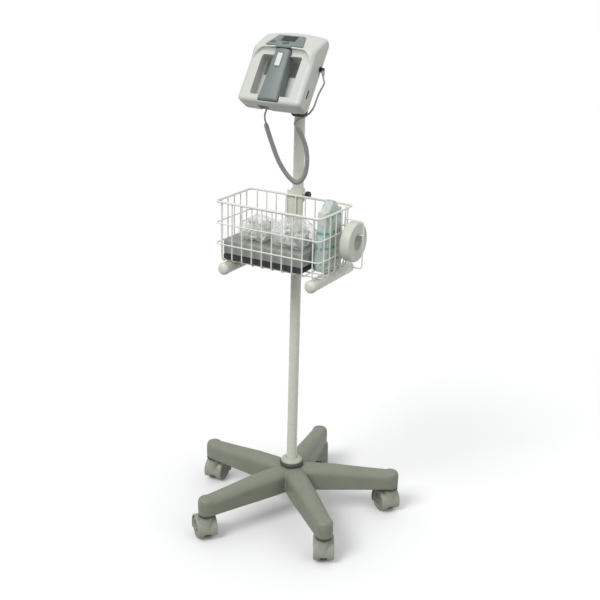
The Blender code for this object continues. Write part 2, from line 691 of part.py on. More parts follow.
# ---------------------------------------------------------------- console case
def case_profile(x):
    """Side outline (u, n) of the case at a distance x from its middle."""
    c = 1.0 - (x / (HEAD_W / 2)) ** 2
    f = 0.0030 + 0.0060 * c
    return [(0.0000, -0.0045), (0.0040, 0.0000), (0.1130, f), (0.1240, f + 0.0006),
            (0.1310, f - 0.0022), (0.1690 + 0.0050 * c, -0.0245 + 0.0050 * c),
            (0.1765 + 0.0060 * c, -0.0330 + 0.0040 * c), (0.1765 + 0.0060 * c, -0.0410),
            (0.1710 + 0.0040 * c, -0.0485), (0.1600, -0.0510 - 0.0015 * c),
            (0.0110, -0.0495 - 0.0030 * c), (0.0000, -0.0430 - 0.0030 * c)]


ENDS = ((HALF_W, 0.0085), (HALF_W - 0.0010, 0.0050), (HALF_W - 0.0040, 0.0018),
        (HALF_W - 0.0100, 0.0), (0.0400, 0.0))
STATIONS = tuple((-x, e) for x, e in ENDS) + ((0.0, 0.0),) + ENDS[::-1]


def case_solid(name, shell=0.0):
    rings = []
    for x, e in STATIONS:
        flat = inset(case_profile(x), e + shell, ((0.0300, -0.0240), (0.1500, -0.0300)))
        if shell:
            flat = [(max(u, 0.0165), n) for u, n in flat]
            x = x * (1.0 - shell / (HEAD_W / 2))
        rings.append([head(x, u, n) for u, n in flat])
    return loft(name, rings, None)


def head_box(name, low, high, look=None):
    """A box in the console's frame: x, u, n from low to high."""
    return box(name, low, high, look, lambda x, u, n: head(x, u, n))


def head_rod(name, at, to, r, sides=20, look=None):
    return rod(name, head(*at), head(*to), r, look, sides)


BIG = 0.30
front = case_solid("front_case")
cut(front, head_box("c", (-BIG, -BIG, -BIG), (BIG, BIG, PART_N)))
hollow = case_solid("h", WALL)
cut(front, hollow)
# lower face, set back under the display's lip
cut(front, head_box("c", (-BIG, -0.02, 0.0), (BIG, FACE_TOP_U, 0.05)))
# cradle: shallow tray with a deep well at its upper end
tray = head_box("t", (-CRADLE_X - WALL, 0.0120, FLOOR_N - WALL),
                (CRADLE_X + WALL, CRADLE_U[1] + WALL, -0.0005))
weld(tray, head_box("t", (-DEEP_X - WALL, DEEP_U - WALL, DEEP_N - WALL),
                    (DEEP_X + WALL, CRADLE_U[1] + WALL, FLOOR_N)))
weld(front, tray)
cut(front, head_box("r", (-CRADLE_X, CRADLE_U[0], FLOOR_N), (CRADLE_X, CRADLE_U[1], 0.02)),
    head_box("r", (-DEEP_X, DEEP_U, DEEP_N), (DEEP_X, CRADLE_U[1], FLOOR_N + 0.004)))
# notch in the lip and in the bottom rail for the handset's two ends
LIP_HALF = handset_half(CRADLE_U[1]) + 0.00019
RAIL_HALF = HANDSET_W[0] / 2 + 0.0012
cut(front, head_box("n", (-LIP_HALF, CRADLE_U[1] - 0.002, -0.0215),
                    (LIP_HALF, HANDSET_U[1] + 0.0007, 0.03)),
    head_box("n", (-RAIL_HALF, -0.01, -0.0206), (RAIL_HALF, CRADLE_U[0] + 0.002, 0.03)))
SLOT_X = (-0.0340, -0.0100)
cut(front, head_box("s", (SLOT_X[0], -0.01, -BIG / 4), (SLOT_X[1], 0.0125, -0.0190)))

# seat for the display panel: the upper face's own frame
S0 = Vector((0.1330, 0.0068))
S1 = Vector((0.1715, -0.0165))
ES = (S1 - S0).normalized()
EM = Vector((-ES.y, ES.x))
PANEL_LONG = 0.0400


def face(x, s, m):
    """A point of the display face: x across, s up the face, m out of it."""
    p = S0 + ES * s + EM * m
    return head(x, p.x, p.y)


def face_prism(name, outline, low, high, look=None, smooth=None):
    return prism(name, outline, lambda a, b, h: face(a, b, h), low, high, look, smooth)


def trapezoid(grow=0.0):
    g = grow
    return [(-0.0470 - g, 0.0 - g), (0.0470 + g, 0.0 - g), (0.0335 + g, PANEL_LONG + g),
            (-0.0335 - g, PANEL_LONG + g)]


cut(front, face_prism("p", trapezoid(GAP), -0.0030, 0.03))
cut(front, face_prism("w", [(-0.0200, 0.0030), (0.0200, 0.0030), (0.0200, 0.0360),
                            (-0.0200, 0.0360)], -0.03, 0.03))
shade(front, 30)
front.data.materials.append(material("front_case", *CASE))

rear = case_solid("rear_case")
cut(rear, head_box("c", (-BIG, -BIG, PART_N - GAP), (BIG, BIG, BIG)))
cut(rear, case_solid("h", WALL))
cut(rear, head_box("s", (SLOT_X[0], -0.01, -0.0475), (SLOT_X[1], 0.0125, 0.0)))
# bore for the jack, and the battery hatch
JACK_U, JACK_N = 0.1063, -0.0385
cut(rear, head_rod("j", (HALF_W - 0.019, JACK_U, JACK_N), (HALF_W + 0.011, JACK_U, JACK_N),
                   0.0048, 16))
cut(rear, head_box("b", (-0.0560, 0.0990, -0.06), (0.0560, 0.1460, -0.0470)))
shade(rear, 30)
rear.data.materials.append(material("rear_case", *CASE))

head_box("battery_door", (-0.0560 + GAP, 0.0990 + GAP, -0.0525),
         (0.0560 - GAP, 0.1460 - GAP, -0.0500), CASE)
head_box("battery_pack", (-0.0500, 0.1190, -0.0495), (0.0500, 0.1450, -0.0335),
         ((0.05, 0.09, 0.16), 0.5))

# panel, window and display
panel = face_prism("display_panel", trapezoid(), -0.0027, 0.0004, TRIM)
cut(panel, face_prism("w", [(-0.0178, 0.0190), (0.0178, 0.0190), (0.0178, 0.0340),
                            (-0.0178, 0.0340)], -0.02, 0.02))
for x, w in ((-0.0330, 0.0055), (0.0, 0.0075)):
    s = 0.0110 if x < 0 else 0.0095
    cut(panel, face_prism("k", round_rect(2 * w + 2 * GAP, 0.0090 + 2 * GAP, 0.003, 2,
                                          (x, s)), -0.02, 0.02))
cut(front, face_prism("k", round_rect(0.0116, 0.0096, 0.003, 2, (-0.0330, 0.0110)),
                      -0.0130, 0.02))
face_prism("lcd_window", [(-0.0175, 0.0193), (0.0175, 0.0193), (0.0175, 0.0337),
                          (-0.0175, 0.0337)], -0.0018, -0.0002,
           ((0.030, 0.055, 0.045), 0.1))
face_prism("lcd_module", [(-0.0185, 0.0150), (0.0185, 0.0150), (0.0185, 0.0355),
                          (-0.0185, 0.0355)], -0.0085, -0.0035,
           ((0.16, 0.20, 0.15), 0.4))
face_prism("main_board", [(-0.0550, 0.0020), (0.0550, 0.0020), (0.0450, 0.0330),
                          (-0.0450, 0.0330)], -0.0155, -0.0139,
           ((0.02, 0.16, 0.07), 0.5))
for name, x, w in (("power_key", -0.0330, 0.0055), ("select_key", 0.0, 0.0075)):
    s = 0.0110 if x < 0 else 0.0095
    key = face_prism(name, round_rect(2 * w, 0.0090, 0.0028, 2, (x, s)), -0.0024, 0.0016,
                     ((0.13, 0.16, 0.15), 0.5))
    pivot(key, face(x, s, 0.0))

# jack on the right side, and the plate that carries the tilt lug
jack = lathe("jack", [(0.0022, 0.0), (0.0045, 0.0), (0.0045, 0.0116), (0.0062, 0.0116),
                      (0.0062, 0.0131), (0.0022, 0.0131)],
             head(HALF_W - 0.0110, JACK_U, JACK_N), (1, 0, 0), BLACK, sides=16)
BACK_N = -0.0530
plate = head_box("tilt_bracket", (-0.0230, 0.0280, BACK_N - 0.0040),
                 (0.0230, 0.0880, BACK_N - GAP), BLACK)
lug = [(HINGE_U + 0.0090 * math.cos(math.radians(a)),
        HINGE_N + 0.0090 * math.sin(math.radians(a)))
       for a in (190, 215, 240, 265, 290, 315, 340)]
lug = lug + [(0.0800, BACK_N - 0.0030), (0.0380, BACK_N - 0.0030)]
weld(plate, prism("l", lug, lambda u, n, x: head(x, u, n), -0.0100, 0.0100, None))
cut(plate, head_rod("b", (-0.05, HINGE_U, HINGE_N), (0.05, HINGE_U, HINGE_N),
                    PIN_R + 0.0001))
shade(plate)

# dark port cover low on the right side
cut(front, head_box("p", (HALF_W - 0.0022, 0.0280, -0.0250), (HALF_W + 0.0110, 0.0480, -0.0190)))
port = head_box("port_cover", (HALF_W - 0.0019, 0.0283, -0.0247),
                (HALF_W - 0.0002, 0.0477, -0.0193),
                ((0.06, 0.065, 0.06), 0.6))


# ---------------------------------------------------------------- handset
def handset_ring(u, grow, n_low, n_high, r=0.006):
    w = 2 * handset_half(u) - 2 * grow
    crown = 0.0015
    left = [(-w / 2, n_low), (-w / 2, n_high - r), (-w / 2 + 0.3 * r, n_high - 0.3 * r),
            (-w / 2 + r, n_high)]
    pts = left + [(0.0, n_high + crown)] + [(-x, n) for x, n in left[::-1]]
    return [head(x, u, n) for x, n in pts]


def top_n(u):
    return 0.0050 + 0.0020 * (u / 0.1265)


rings = []
for u, g, drop in ((HANDSET_U[0], 0.0035, 0.0045), (HANDSET_U[0] + 0.0020, 0.0008, 0.0012),
                   (HANDSET_U[0] + 0.006, 0.0, 0.0), (0.0600, 0.0, 0.0),
                   (HANDSET_U[1] - 0.004, 0.0, 0.0), (HANDSET_U[1], 0.0010, 0.0020)):
    rings.append(handset_ring(u, g, HANDSET_SPLIT, top_n(u) - drop))
upper = loft("handset_top", rings, TRIM)
low_rings = []
for u, g, lift in ((HANDSET_U[0], 0.0035, 0.0040), (HANDSET_U[0] + 0.0030, 0.0, 0.0),
                   (0.0600, 0.0, 0.0), (HANDSET_U[1] - 0.003, 0.0, 0.0),
                   (HANDSET_U[1], 0.0010, 0.0030)):
    w = 2 * handset_half(u) - 2 * g
    low = HANDSET_BACK + lift
    half = [(-w / 2, HANDSET_SPLIT - GAP), (-w / 2, low + 0.006),
            (-w / 2 + 0.0018, low + 0.0018), (-w / 2 + 0.006, low)]
    pts = half + [(-x, n) for x, n in half[::-1]]
    low_rings.append([head(x, u, n) for x, n in pts])
lower = loft("handset_back", low_rings, TRIM)


def taper_box(name, u0, u1, n0, n1, side):
    """A box that narrows with the handset, side metres inside its flanks."""
    ring_pts = []
    for u in (u0, u1):
        w = handset_half(u) - side
        ring_pts.append([head(-w, u, n0), head(w, u, n0), head(w, u, n1), head(-w, u, n1)])
    return loft(name, ring_pts, None)


BUTTON_U = (0.0830, 0.1140)
cut(upper, taper_box("c", 0.0070, 0.1200, HANDSET_SPLIT - 0.002, 0.0020, 0.0028))
cut(upper, head_box("b", (-0.0066, BUTTON_U[0] - GAP, -0.01),
                    (0.0066, BUTTON_U[1] + GAP, 0.03)))
shade(upper, 35)
cut(lower, taper_box("c", 0.0070, 0.1200, HANDSET_BACK + 0.0025, 0.0, 0.0028))
NOSE_U = 0.0950
cut(lower, head_rod("n", (0, NOSE_U, -0.05), (0, NOSE_U, -0.012), 0.0080))
shade(lower, 35)
button = head_box("measure_button", (-0.0063, BUTTON_U[0], -0.0010),
                  (0.0063, BUTTON_U[1], 0.0106), ((0.72, 0.75, 0.69), 0.4))
pivot(button, head(0, 0.5 * (BUTTON_U[0] + BUTTON_U[1]), 0.0))
taper = taper_box("handset_board", 0.0100, 0.1150, -0.0112, -0.0096, 0.0045)
taper.data.materials.append(material("handset_board", (0.02, 0.16, 0.07), 0.5))
nose = lathe("probe_nose", [(0, 0.0), (0.0077, 0.0), (0.0077, 0.0090), (0.0066, 0.0100),
                            (0.0042, 0.0250), (0.0030, 0.0268), (0, 0.0268)],
             head(0, NOSE_U, -0.0125), -OUT, ((0.05, 0.055, 0.055), 0.5), sides=20)

# strain relief under the handset's lower end
EXIT = Vector((-0.0180, 0.0060, HANDSET_BACK))
lathe("handset_relief", [(0, -GAP), (0.0042, -GAP), (0.0042, -0.0020), (0.0030, -0.0060),
                         (0, -0.0060)],
      head(EXIT.x, EXIT.y, EXIT.z), OUT, BLACK, sides=16)
plug = lathe("jack_plug", [(0, -0.0105), (0.0019, -0.0105), (0.0019, 0.0003),
                           (0.0055, 0.0003), (0.0055, 0.0075), (0.0045, 0.0085),
                           (0, 0.0085)],
             head(HALF_W + 0.0024, JACK_U, JACK_N), (1, 0, 0), BLACK, sides=16)
PLUG_AT = Vector((HALF_W + 0.0062, JACK_U, JACK_N))
PLUG_DIR = Vector((0.42, -1.0, 0.0)).normalized()
PLUG_END = PLUG_AT + PLUG_DIR * 0.0160
weld(plug, rod("r", head(*PLUG_AT), head(*PLUG_END), 0.0036, sides=12))
shade(plug)


# ---------------------------------------------------------------- curly cord
def smooth_path(points, step):
    """An even set of points on a smooth curve through the given ones."""
    pts = [Vector(p) for p in points]
    ext = [pts[0] * 2 - pts[1]] + pts + [pts[-1] * 2 - pts[-2]]
    dense = []
    for i in range(1, len(ext) - 2):
        p0, p1, p2, p3 = ext[i - 1], ext[i], ext[i + 1], ext[i + 2]
        for k in range(16):
            t = k / 16
            dense.append(0.5 * ((2 * p1) + (p2 - p0) * t
                                + (2 * p0 - 5 * p1 + 4 * p2 - p3) * t * t
                                + (3 * p1 - p0 - 3 * p2 + p3) * t * t * t))
    dense.append(pts[-1])
    total = sum((b - a).length for a, b in zip(dense, dense[1:]))
    count = max(2, round(total / step))
    out, run, k = [dense[0]], 0.0, 0
    for i in range(1, count):
        want = total * i / count
        while run + (dense[k + 1] - dense[k]).length < want:
            run += (dense[k + 1] - dense[k]).length
            k += 1
        part = (want - run) / (dense[k + 1] - dense[k]).length
        out.append(dense[k].lerp(dense[k + 1], part))
    out.append(dense[-1])
    return out


def cord(name, points, radius, step, look):
    curve = bpy.data.curves.new(name, "CURVE")
    curve.dimensions = "3D"
    curve.bevel_depth = radius
    curve.bevel_resolution = 2
    curve.use_fill_caps = True
    line = curve.splines.new("POLY")
    pts = smooth_path(points, step)
    line.points.add(len(pts) - 1)
    for p, co in zip(line.points, pts):
        p.co = (*co, 1.0)
    o = bpy.data.objects.new(name, curve)
    bpy.context.scene.collection.objects.link(o)
    curve.materials.append(material(name, *look))
    return o


CORD_LOOK = ((0.330, 0.340, 0.325), 0.55)
START = head(EXIT.x, EXIT.y, EXIT.z - 0.0060 - GAP)
COIL = [Vector((-0.0320, -0.0958, 1.0156)), Vector((-0.0290, -0.0945, 1.0020)),
        Vector((-0.0190, -0.0900, 0.9700)), Vector((-0.0020, -0.0860, 0.9290)),
        Vector((0.0200, -0.0830, 0.8990)), Vector((0.0420, -0.0820, 0.8860)),
        Vector((0.0600, -0.0820, 0.8990)), Vector((0.0680, -0.0820, 0.9270)),
        Vector((0.0660, -0.0820, 0.9620)), Vector((0.0560, -0.0830, 0.9890)),
        Vector((0.0450, -0.0840, 1.0060)), Vector((0.0410, -0.0850, 1.0120))]
COIL_IN = (COIL[1] - COIL[0]).normalized()
COIL_OUT = (COIL[-1] - COIL[-2]).normalized()
STUB = [START - OUT * 0.0004, START - OUT * 0.0060, head(-0.0215, 0.0010, -0.0410),
        head(-0.0255, -0.0090, -0.0475),
        COIL[0] - COIL_IN * 0.0080, COIL[0] - COIL_IN * 0.0008]
LEAD = [COIL[-1] + COIL_OUT * 0.0008, COIL[-1] + COIL_OUT * 0.0080,
        Vector((0.0480, -0.0870, 1.0290)), Vector((0.0640, -0.0840, 1.0370)),
        Vector((0.0830, -0.0870, 1.0560)),
        Vector((0.0880, -0.0740, 1.0850)), head(0.0990, JACK_U - 0.0310, JACK_N),
        head(*(PLUG_END + PLUG_DIR * 0.0080)), head(*(PLUG_END + PLUG_DIR * 0.0007))]
cord("cord_stub", STUB, CORD_R, 0.0050, CORD_LOOK)
cord("cord_coil", COIL, COIL_R, 0.0130, CORD_LOOK)
cord("cord_lead", LEAD, CORD_R, 0.0055, CORD_LOOK)

# ---------------------------------------------------------------- groups and final place
POLE_AXIS = group("head_swivel", (0, 0, COLLAR_LOW))
HEAD_AXIS = group("head_tilt", HINGE)
HAND_AXIS = group("handset_lift", head(0, 0.06, 0))
bpy.context.view_layer.update()
RIDES = {
    POLE_AXIS: ("neck", "lock_knob", "tilt_knob"),
    HEAD_AXIS: ("front_case", "rear_case", "battery_door", "battery_pack", "display_panel",
                "lcd_window", "lcd_module", "main_board", "power_key", "select_key", "jack",
                "jack_plug", "tilt_bracket", "port_cover", "cord_stub", "cord_coil",
                "cord_lead"),
    HAND_AXIS: ("handset_top", "handset_back", "measure_button", "handset_board",
                "probe_nose", "handset_relief"),
}
for parent, names in RIDES.items():
    for name in names:
        o = bpy.data.objects[name]
        o.parent = parent
        o.matrix_parent_inverse = parent.matrix_world.inverted()
for parent, child in ((POLE_AXIS, HEAD_AXIS), (HEAD_AXIS, HAND_AXIS)):
    child.parent = parent
    child.matrix_parent_inverse = parent.matrix_world.inverted()
bpy.context.view_layer.update()
for o in bpy.data.objects:
    if o.parent is None:
        o.location = o.location + Vector((SHIFT_X, SHIFT_Y, 0))
bpy.context.view_layer.update()
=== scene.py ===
"""Looks of a thermometer console with its handset and curly cord, on a roll stand.

Metres. Pieces are laid out round the pole's axis, as the CAD is, and piece() shifts each one
to the frame and lets it ride on its body.
"""

import math

import bmesh
import bpy
from mathutils import Matrix, Vector, noise


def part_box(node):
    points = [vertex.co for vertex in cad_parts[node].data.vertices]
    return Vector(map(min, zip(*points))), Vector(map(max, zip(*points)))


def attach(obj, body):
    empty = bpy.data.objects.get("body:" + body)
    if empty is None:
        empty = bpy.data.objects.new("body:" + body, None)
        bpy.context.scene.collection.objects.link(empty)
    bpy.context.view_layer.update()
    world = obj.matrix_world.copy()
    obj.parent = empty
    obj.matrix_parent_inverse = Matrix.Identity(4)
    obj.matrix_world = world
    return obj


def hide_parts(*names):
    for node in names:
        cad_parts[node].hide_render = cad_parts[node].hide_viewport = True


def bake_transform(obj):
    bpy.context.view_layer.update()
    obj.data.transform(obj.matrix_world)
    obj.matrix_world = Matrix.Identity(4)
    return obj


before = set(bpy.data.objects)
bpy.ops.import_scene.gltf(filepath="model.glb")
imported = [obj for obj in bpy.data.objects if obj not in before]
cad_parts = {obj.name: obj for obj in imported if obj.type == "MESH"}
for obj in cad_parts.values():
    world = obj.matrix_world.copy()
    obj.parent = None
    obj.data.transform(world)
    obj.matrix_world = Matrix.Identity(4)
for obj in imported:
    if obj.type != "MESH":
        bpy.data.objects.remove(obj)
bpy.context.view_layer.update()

# ---------------------------------------------------------------- places from the frame
POLE_LOW, POLE_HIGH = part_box("pole")
SHIFT = Matrix.Translation(((POLE_LOW.x + POLE_HIGH.x) / 2, (POLE_LOW.y + POLE_HIGH.y) / 2, 0))
POLE_R = (POLE_HIGH.x - POLE_LOW.x) / 2


def laid(node):
    """Lowest and highest corner of a CAD node, in the layout round the pole's axis."""
    low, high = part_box(node)
    return low - SHIFT.translation, high - SHIFT.translation


# ---------------------------------------------------------------- driving dimensions
ARM_FIRST_DEG = 30.73
STEM_RADIUS = 0.2534
ARM_BOTTOM, ARM_TIP_TOP, HUB_TOP = 0.0720, 0.1165, 0.1340
WHEEL_R, WHEEL_W, WHEEL_GAP = 0.0275, 0.0140, 0.0190
CASTER_TRAIL = 0.0180
CASTER_HEADINGS_DEG = (145.0, 120.0, 95.0, 140.0, 120.0)

BASKET_X, BASKET_Y, BASKET_W, BASKET_D = 0.0195, -0.0943, 0.2770, 0.1550
RIM_Z, RING_Z, BASKET_BOTTOM = 0.8370, (0.7870, 0.7390), 0.6965
RIM_R, WIRE_R, WIRE_STEP = 0.0027, 0.0016, 0.0262
WIRES_ACROSS, WIRES_ALONG = 10, 5
TUBE_R, TUBE_X, TUBE_Z = 0.0138, (-0.0950, 0.1340), 0.6806
TUBE_FRONT, TUBE_BACK = -0.1620, 0.0120
CLAMP_Z = 0.8385

HEAD_AT = Vector((0.0, -0.1442, 1.0677))
HEAD_TILT = math.radians(33.6)
UP = Vector((0.0, math.sin(HEAD_TILT), math.cos(HEAD_TILT)))
OUT = Vector((0.0, -math.cos(HEAD_TILT), math.sin(HEAD_TILT)))
HEAD_W, PART_N, WALL = 0.1580, -0.0300, 0.0028
CRADLE_X, CRADLE_U, FLOOR_N, DEEP_U, DEEP_N = 0.0500, (0.0170, 0.1120), -0.0240, 0.0740, -0.0455
HANDSET_W, HANDSET_U, HANDSET_SPLIT, HANDSET_BACK = (0.0500, 0.0360), (0.0012, 0.1265), -0.0060, -0.0200
HINGE_U, HINGE_N = 0.0583, -0.0801
LUG_R, PIN_BORE_R, LOCK_Z = 0.0090, 0.0031, 1.0290
DEEP_X = 0.0475
CASE_SCREWS = [(x, u) for x in (-0.0620, 0.0620) for u in (0.0200, 0.1600)]
JACK_U, JACK_N = 0.1063, -0.0385
CORD_R, HELIX_R, PITCH = 0.0020, 0.00375, 0.0043
GAP = 0.0003

# the console's own axes: x across, u up its face, n out of its face
HEAD = Matrix(((1, 0, 0, 0), (0, UP.y, OUT.y, HEAD_AT.y), (0, UP.z, OUT.z, HEAD_AT.z), (0, 0, 0, 1)))
FACE_LOW, FACE_HIGH = Vector((0.1330, 0.0068)), Vector((0.1715, -0.0165))
FACE_UP = (FACE_HIGH - FACE_LOW).normalized()
# the display face's axes: x across, s up the face, m out of it
FACE = HEAD @ Matrix(((1, 0, 0, 0), (0, FACE_UP.x, -FACE_UP.y, FACE_LOW.x),
                      (0, FACE_UP.y, FACE_UP.x, FACE_LOW.y), (0, 0, 0, 1)))


def head(x, u, n):
    return HEAD @ Vector((x, u, n))


# ---------------------------------------------------------------- mesh helpers
def from_bmesh(name, bm):
    mesh = bpy.data.meshes.new(name)
    bm.to_mesh(mesh)
    bm.free()
    o = bpy.data.objects.new(name, mesh)
    bpy.context.scene.collection.objects.link(o)
    return o


def arc(cx, cy, r, degrees):
    return [(cx + r * math.cos(math.radians(a)), cy + r * math.sin(math.radians(a)))
            for a in degrees]


def solid(name, verts, faces):
    mesh = bpy.data.meshes.new(name)
    mesh.from_pydata([tuple(v) for v in verts], [], faces)
    bm = bmesh.new()
    bm.from_mesh(mesh)
    bmesh.ops.remove_doubles(bm, verts=bm.verts, dist=0.000005)
    bmesh.ops.recalc_face_normals(bm, faces=bm.faces)
    bm.to_mesh(mesh)
    bm.free()
    o = bpy.data.objects.new(name, mesh)
    bpy.context.scene.collection.objects.link(o)
    return o


def shade(o, degrees):
    o.data.polygons.foreach_set("use_smooth", [True] * len(o.data.polygons))
    o.data.set_sharp_from_angle(angle=math.radians(degrees))


def piece(o, body, slot, look=None, stands_for=(), angle=40.0, place=None):
    """Finish a mesh: into the frame, with its material, on its body, for its CAD nodes."""
    if place is not None:
        o.data.transform(place)
    o.data.transform(SHIFT)
    o.data.materials.clear()
    o.data.materials.append(look or LOOKS[slot])
    shade(o, angle)
    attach(o, body)
    if stands_for:
        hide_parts(*stands_for)
    return o


def rounded(points, r, steps=4, closed=True):
    """The outline with each corner turned into a small curve that starts r away from it."""
    out, count = [], len(points)
    for i, p in enumerate(points):
        p = Vector(p)
        if not closed and i in (0, count - 1):
            out.append(tuple(p))
            continue
        a, b = Vector(points[i - 1]) - p, Vector(points[(i + 1) % count]) - p
        da, db = min(r, 0.48 * a.length), min(r, 0.48 * b.length)
        start, end = p + a.normalized() * da, p + b.normalized() * db
        for k in range(steps + 1):
            t = k / steps
            out.append(tuple(start * (1 - t) ** 2 + p * (2 * t * (1 - t)) + end * t * t))
    return out


def loft(name, rings, closed=False, caps=True):
    k, count = len(rings[0]), len(rings)
    verts = [p for ring in rings for p in ring]
    faces = []
    for i in range(count if closed else count - 1):
        a, b = i * k, ((i + 1) % count) * k
        faces += [(a + j, a + (j + 1) % k, b + (j + 1) % k, b + j) for j in range(k)]
    if caps and not closed:
        faces += [tuple(range(k))[::-1], tuple(range((count - 1) * k, count * k))]
    return solid(name, verts, faces)


def offset(outline, e):
    """A closed outline moved in by e along its corners' own normals."""
    area = sum(a[0] * b[1] - b[0] * a[1] for a, b in zip(outline, outline[1:] + outline[:1]))
    sign = 1 if area > 0 else -1
    out, count = [], len(outline)
    for i, p in enumerate(outline):
        t = Vector(outline[(i + 1) % count]) - Vector(outline[i - 1])
        n = Vector((-t.y, t.x)).normalized() * sign
        out.append((p[0] + n.x * e, p[1] + n.y * e))
    return out


def slab(name, outline, low, high, edge=0.0006, steps=3, axes=(0, 1, 2)):
    """An outline extruded from low to high, with rounded edges; axes reorders (a, b, height)."""
    rings = []
    ends = [(math.pi / 2 * k / steps) for k in range(steps + 1)]
    levels = [(low + edge * (1 - math.sin(w)), edge * (1 - math.cos(w))) for w in ends[::-1]]
    levels += [(high - edge * (1 - math.sin(w)), edge * (1 - math.cos(w))) for w in ends]
    for h, e in levels:
        ring = []
        for a, b in offset(outline, e):
            p = Vector()
            p[axes[0]], p[axes[1]], p[axes[2]] = a, b, h
            ring.append(p)
        rings.append(ring)
    return loft(name, rings)


def round_rect(w, d, r, steps=6, at=(0.0, 0.0)):
    out = []
    for sx, sy, start in ((1, 1, 0), (-1, 1, 90), (-1, -1, 180), (1, -1, 270)):
        cx, cy = at[0] + sx * (w / 2 - r), at[1] + sy * (d / 2 - r)
        for k in range(steps + 1):
            g = math.radians(start + 90.0 * k / steps)
            out.append((cx + r * math.cos(g), cy + r * math.sin(g)))
    return out


def block(name, low, high, r=0.0010, segments=3):
    """A box with every edge rounded."""
    bm = bmesh.new()
    bmesh.ops.create_cube(bm, size=1.0)
    low, high = Vector(low), Vector(high)
    bmesh.ops.scale(bm, vec=high - low, verts=bm.verts)
    bmesh.ops.translate(bm, vec=(low + high) / 2, verts=bm.verts)
    if r:
        bmesh.ops.bevel(bm, geom=bm.edges[:], offset=r, segments=segments, profile=0.5,
                        affect="EDGES")
    return from_bmesh(name, bm)


def frame_of(axis):
    axis = Vector(axis).normalized()
    side = Vector((0, 0, 1)) if abs(axis.z) < 0.9 else Vector((1, 0, 0))
    a = side.cross(axis).normalized()
    return a, axis.cross(a), axis


def lathe(name, profile, at=(0, 0, 0), axis=(0, 0, 1), sides=64, r=0.0005, flutes=None):
    """Points (radius, height) turned about an axis, corners rounded by r. flutes is
    (count, depth, least radius) of grooves along the axis in the part beyond that radius."""
    a, b, c = frame_of(axis)
    at = Vector(at)
    loop = profile[0][0] > 0 and profile[-1][0] > 0
    if r:
        profile = rounded(profile, r, 3, loop)
    verts, rings = [], []
    for rad, h in profile:
        if rad < 1e-7:
            rings.append([len(verts)])
            verts.append(at + c * h)
            continue
        rings.append(list(range(len(verts), len(verts) + sides)))
        for i in range(sides):
            w = 2 * math.pi * i / sides
            q = rad
            if flutes and rad > flutes[2]:
                q = rad - flutes[1] * (0.5 - 0.5 * math.cos(flutes[0] * w))
            verts.append(at + a * (q * math.cos(w)) + b * (q * math.sin(w)) + c * h)
    faces = []
    pairs = list(zip(rings, rings[1:])) + ([(rings[-1], rings[0])] if loop else [])
    for p, q in pairs:
        for i in range(sides):
            j = (i + 1) % sides
            if len(p) == 1 and len(q) == 1:
                continue
            if len(p) == 1:
                faces.append((p[0], q[j], q[i]))
            elif len(q) == 1:
                faces.append((p[i], p[j], q[0]))
            else:
                faces.append((p[i], p[j], q[j], q[i]))
    return solid(name, verts, faces)


def rod(name, start, end, radius, sides=48, r=0.0005):
    start, end = Vector(start), Vector(end)
    long = (end - start).length
    return lathe(name, [(0, 0), (radius, 0), (radius, long), (0, long)], start, end - start,
                 sides, r)


def bar(name, points, radius, sides=12, closed=False):
    """A round bar along a path, its rings carried along without twist, its ends rounded."""
    pts = [Vector(p) for p in points]
    count, rings, side = len(pts), [], None
    for i, p in enumerate(pts):
        if closed:
            d = (pts[(i + 1) % count] - pts[i - 1]).normalized()
        else:
            d = (pts[min(i + 1, count - 1)] - pts[max(i - 1, 0)]).normalized()
        side = frame_of(d)[0] if side is None else (side - d * side.dot(d)).normalized()
        other = d.cross(side)
        steps = [(1.0, 0.0)]
        if not closed and i == 0:
            steps = [(0.5, -0.8), (0.85, -0.5), (1.0, 0.0)]
        elif not closed and i == count - 1:
            steps = [(1.0, 0.0), (0.85, 0.5), (0.5, 0.8)]
        for scale, ahead in steps:
            ring = []
            for k in range(sides):
                w = 2 * math.pi * (k + 0.5) / sides
                ring.append(p + d * (ahead * radius * 0.6)
                            + side * (scale * radius * math.cos(w))
                            + other * (scale * radius * math.sin(w)))
            rings.append(ring)
    return loft(name, rings, closed)


def applied(o):
    """Turn the object's modifiers into its mesh."""
    deps = bpy.context.evaluated_depsgraph_get()
    done = bpy.data.meshes.new_from_object(o.evaluated_get(deps), depsgraph=deps)
    o.modifiers.clear()
    old, o.data = o.data, done
    bpy.data.meshes.remove(old)
    return o


def closed_up(o):
    """Merge the slivers a cut leaves and close the small holes beside them."""
    bm = bmesh.new()
    bm.from_mesh(o.data)
    bmesh.ops.remove_doubles(bm, verts=bm.verts, dist=0.000004)
    bmesh.ops.dissolve_degenerate(bm, edges=bm.edges, dist=0.000002)
    ends = [e for e in bm.edges if len(e.link_faces) == 1]
    if ends:
        bmesh.ops.holes_fill(bm, edges=ends, sides=0)
    bm.to_mesh(o.data)
    bm.free()


def boolean(o, kind, tools):
    for tool in tools:
        m = o.modifiers.new("cut", "BOOLEAN")
        m.operation, m.solver, m.object = kind, "EXACT", tool
        applied(o)
        closed_up(o)
        bpy.data.objects.remove(tool, do_unlink=True)
    return o


def cut(o, *tools):
    return boolean(o, "DIFFERENCE", tools)


def weld(o, *tools):
    return boolean(o, "UNION", tools)


def fuse(o, voxel, soften=6, keep=0.5):
    """One even skin over joined and cut solids, its edges rounded, thinned out again."""
    m = o.modifiers.new("skin", "REMESH")
    m.mode, m.voxel_size, m.use_smooth_shade = "VOXEL", voxel, True
    if soften:
        m = o.modifiers.new("soften", "SMOOTH")
        m.factor, m.iterations = 0.5, soften
    if keep < 1:
        m = o.modifiers.new("thin", "DECIMATE")
        m.ratio = keep
    return applied(o)


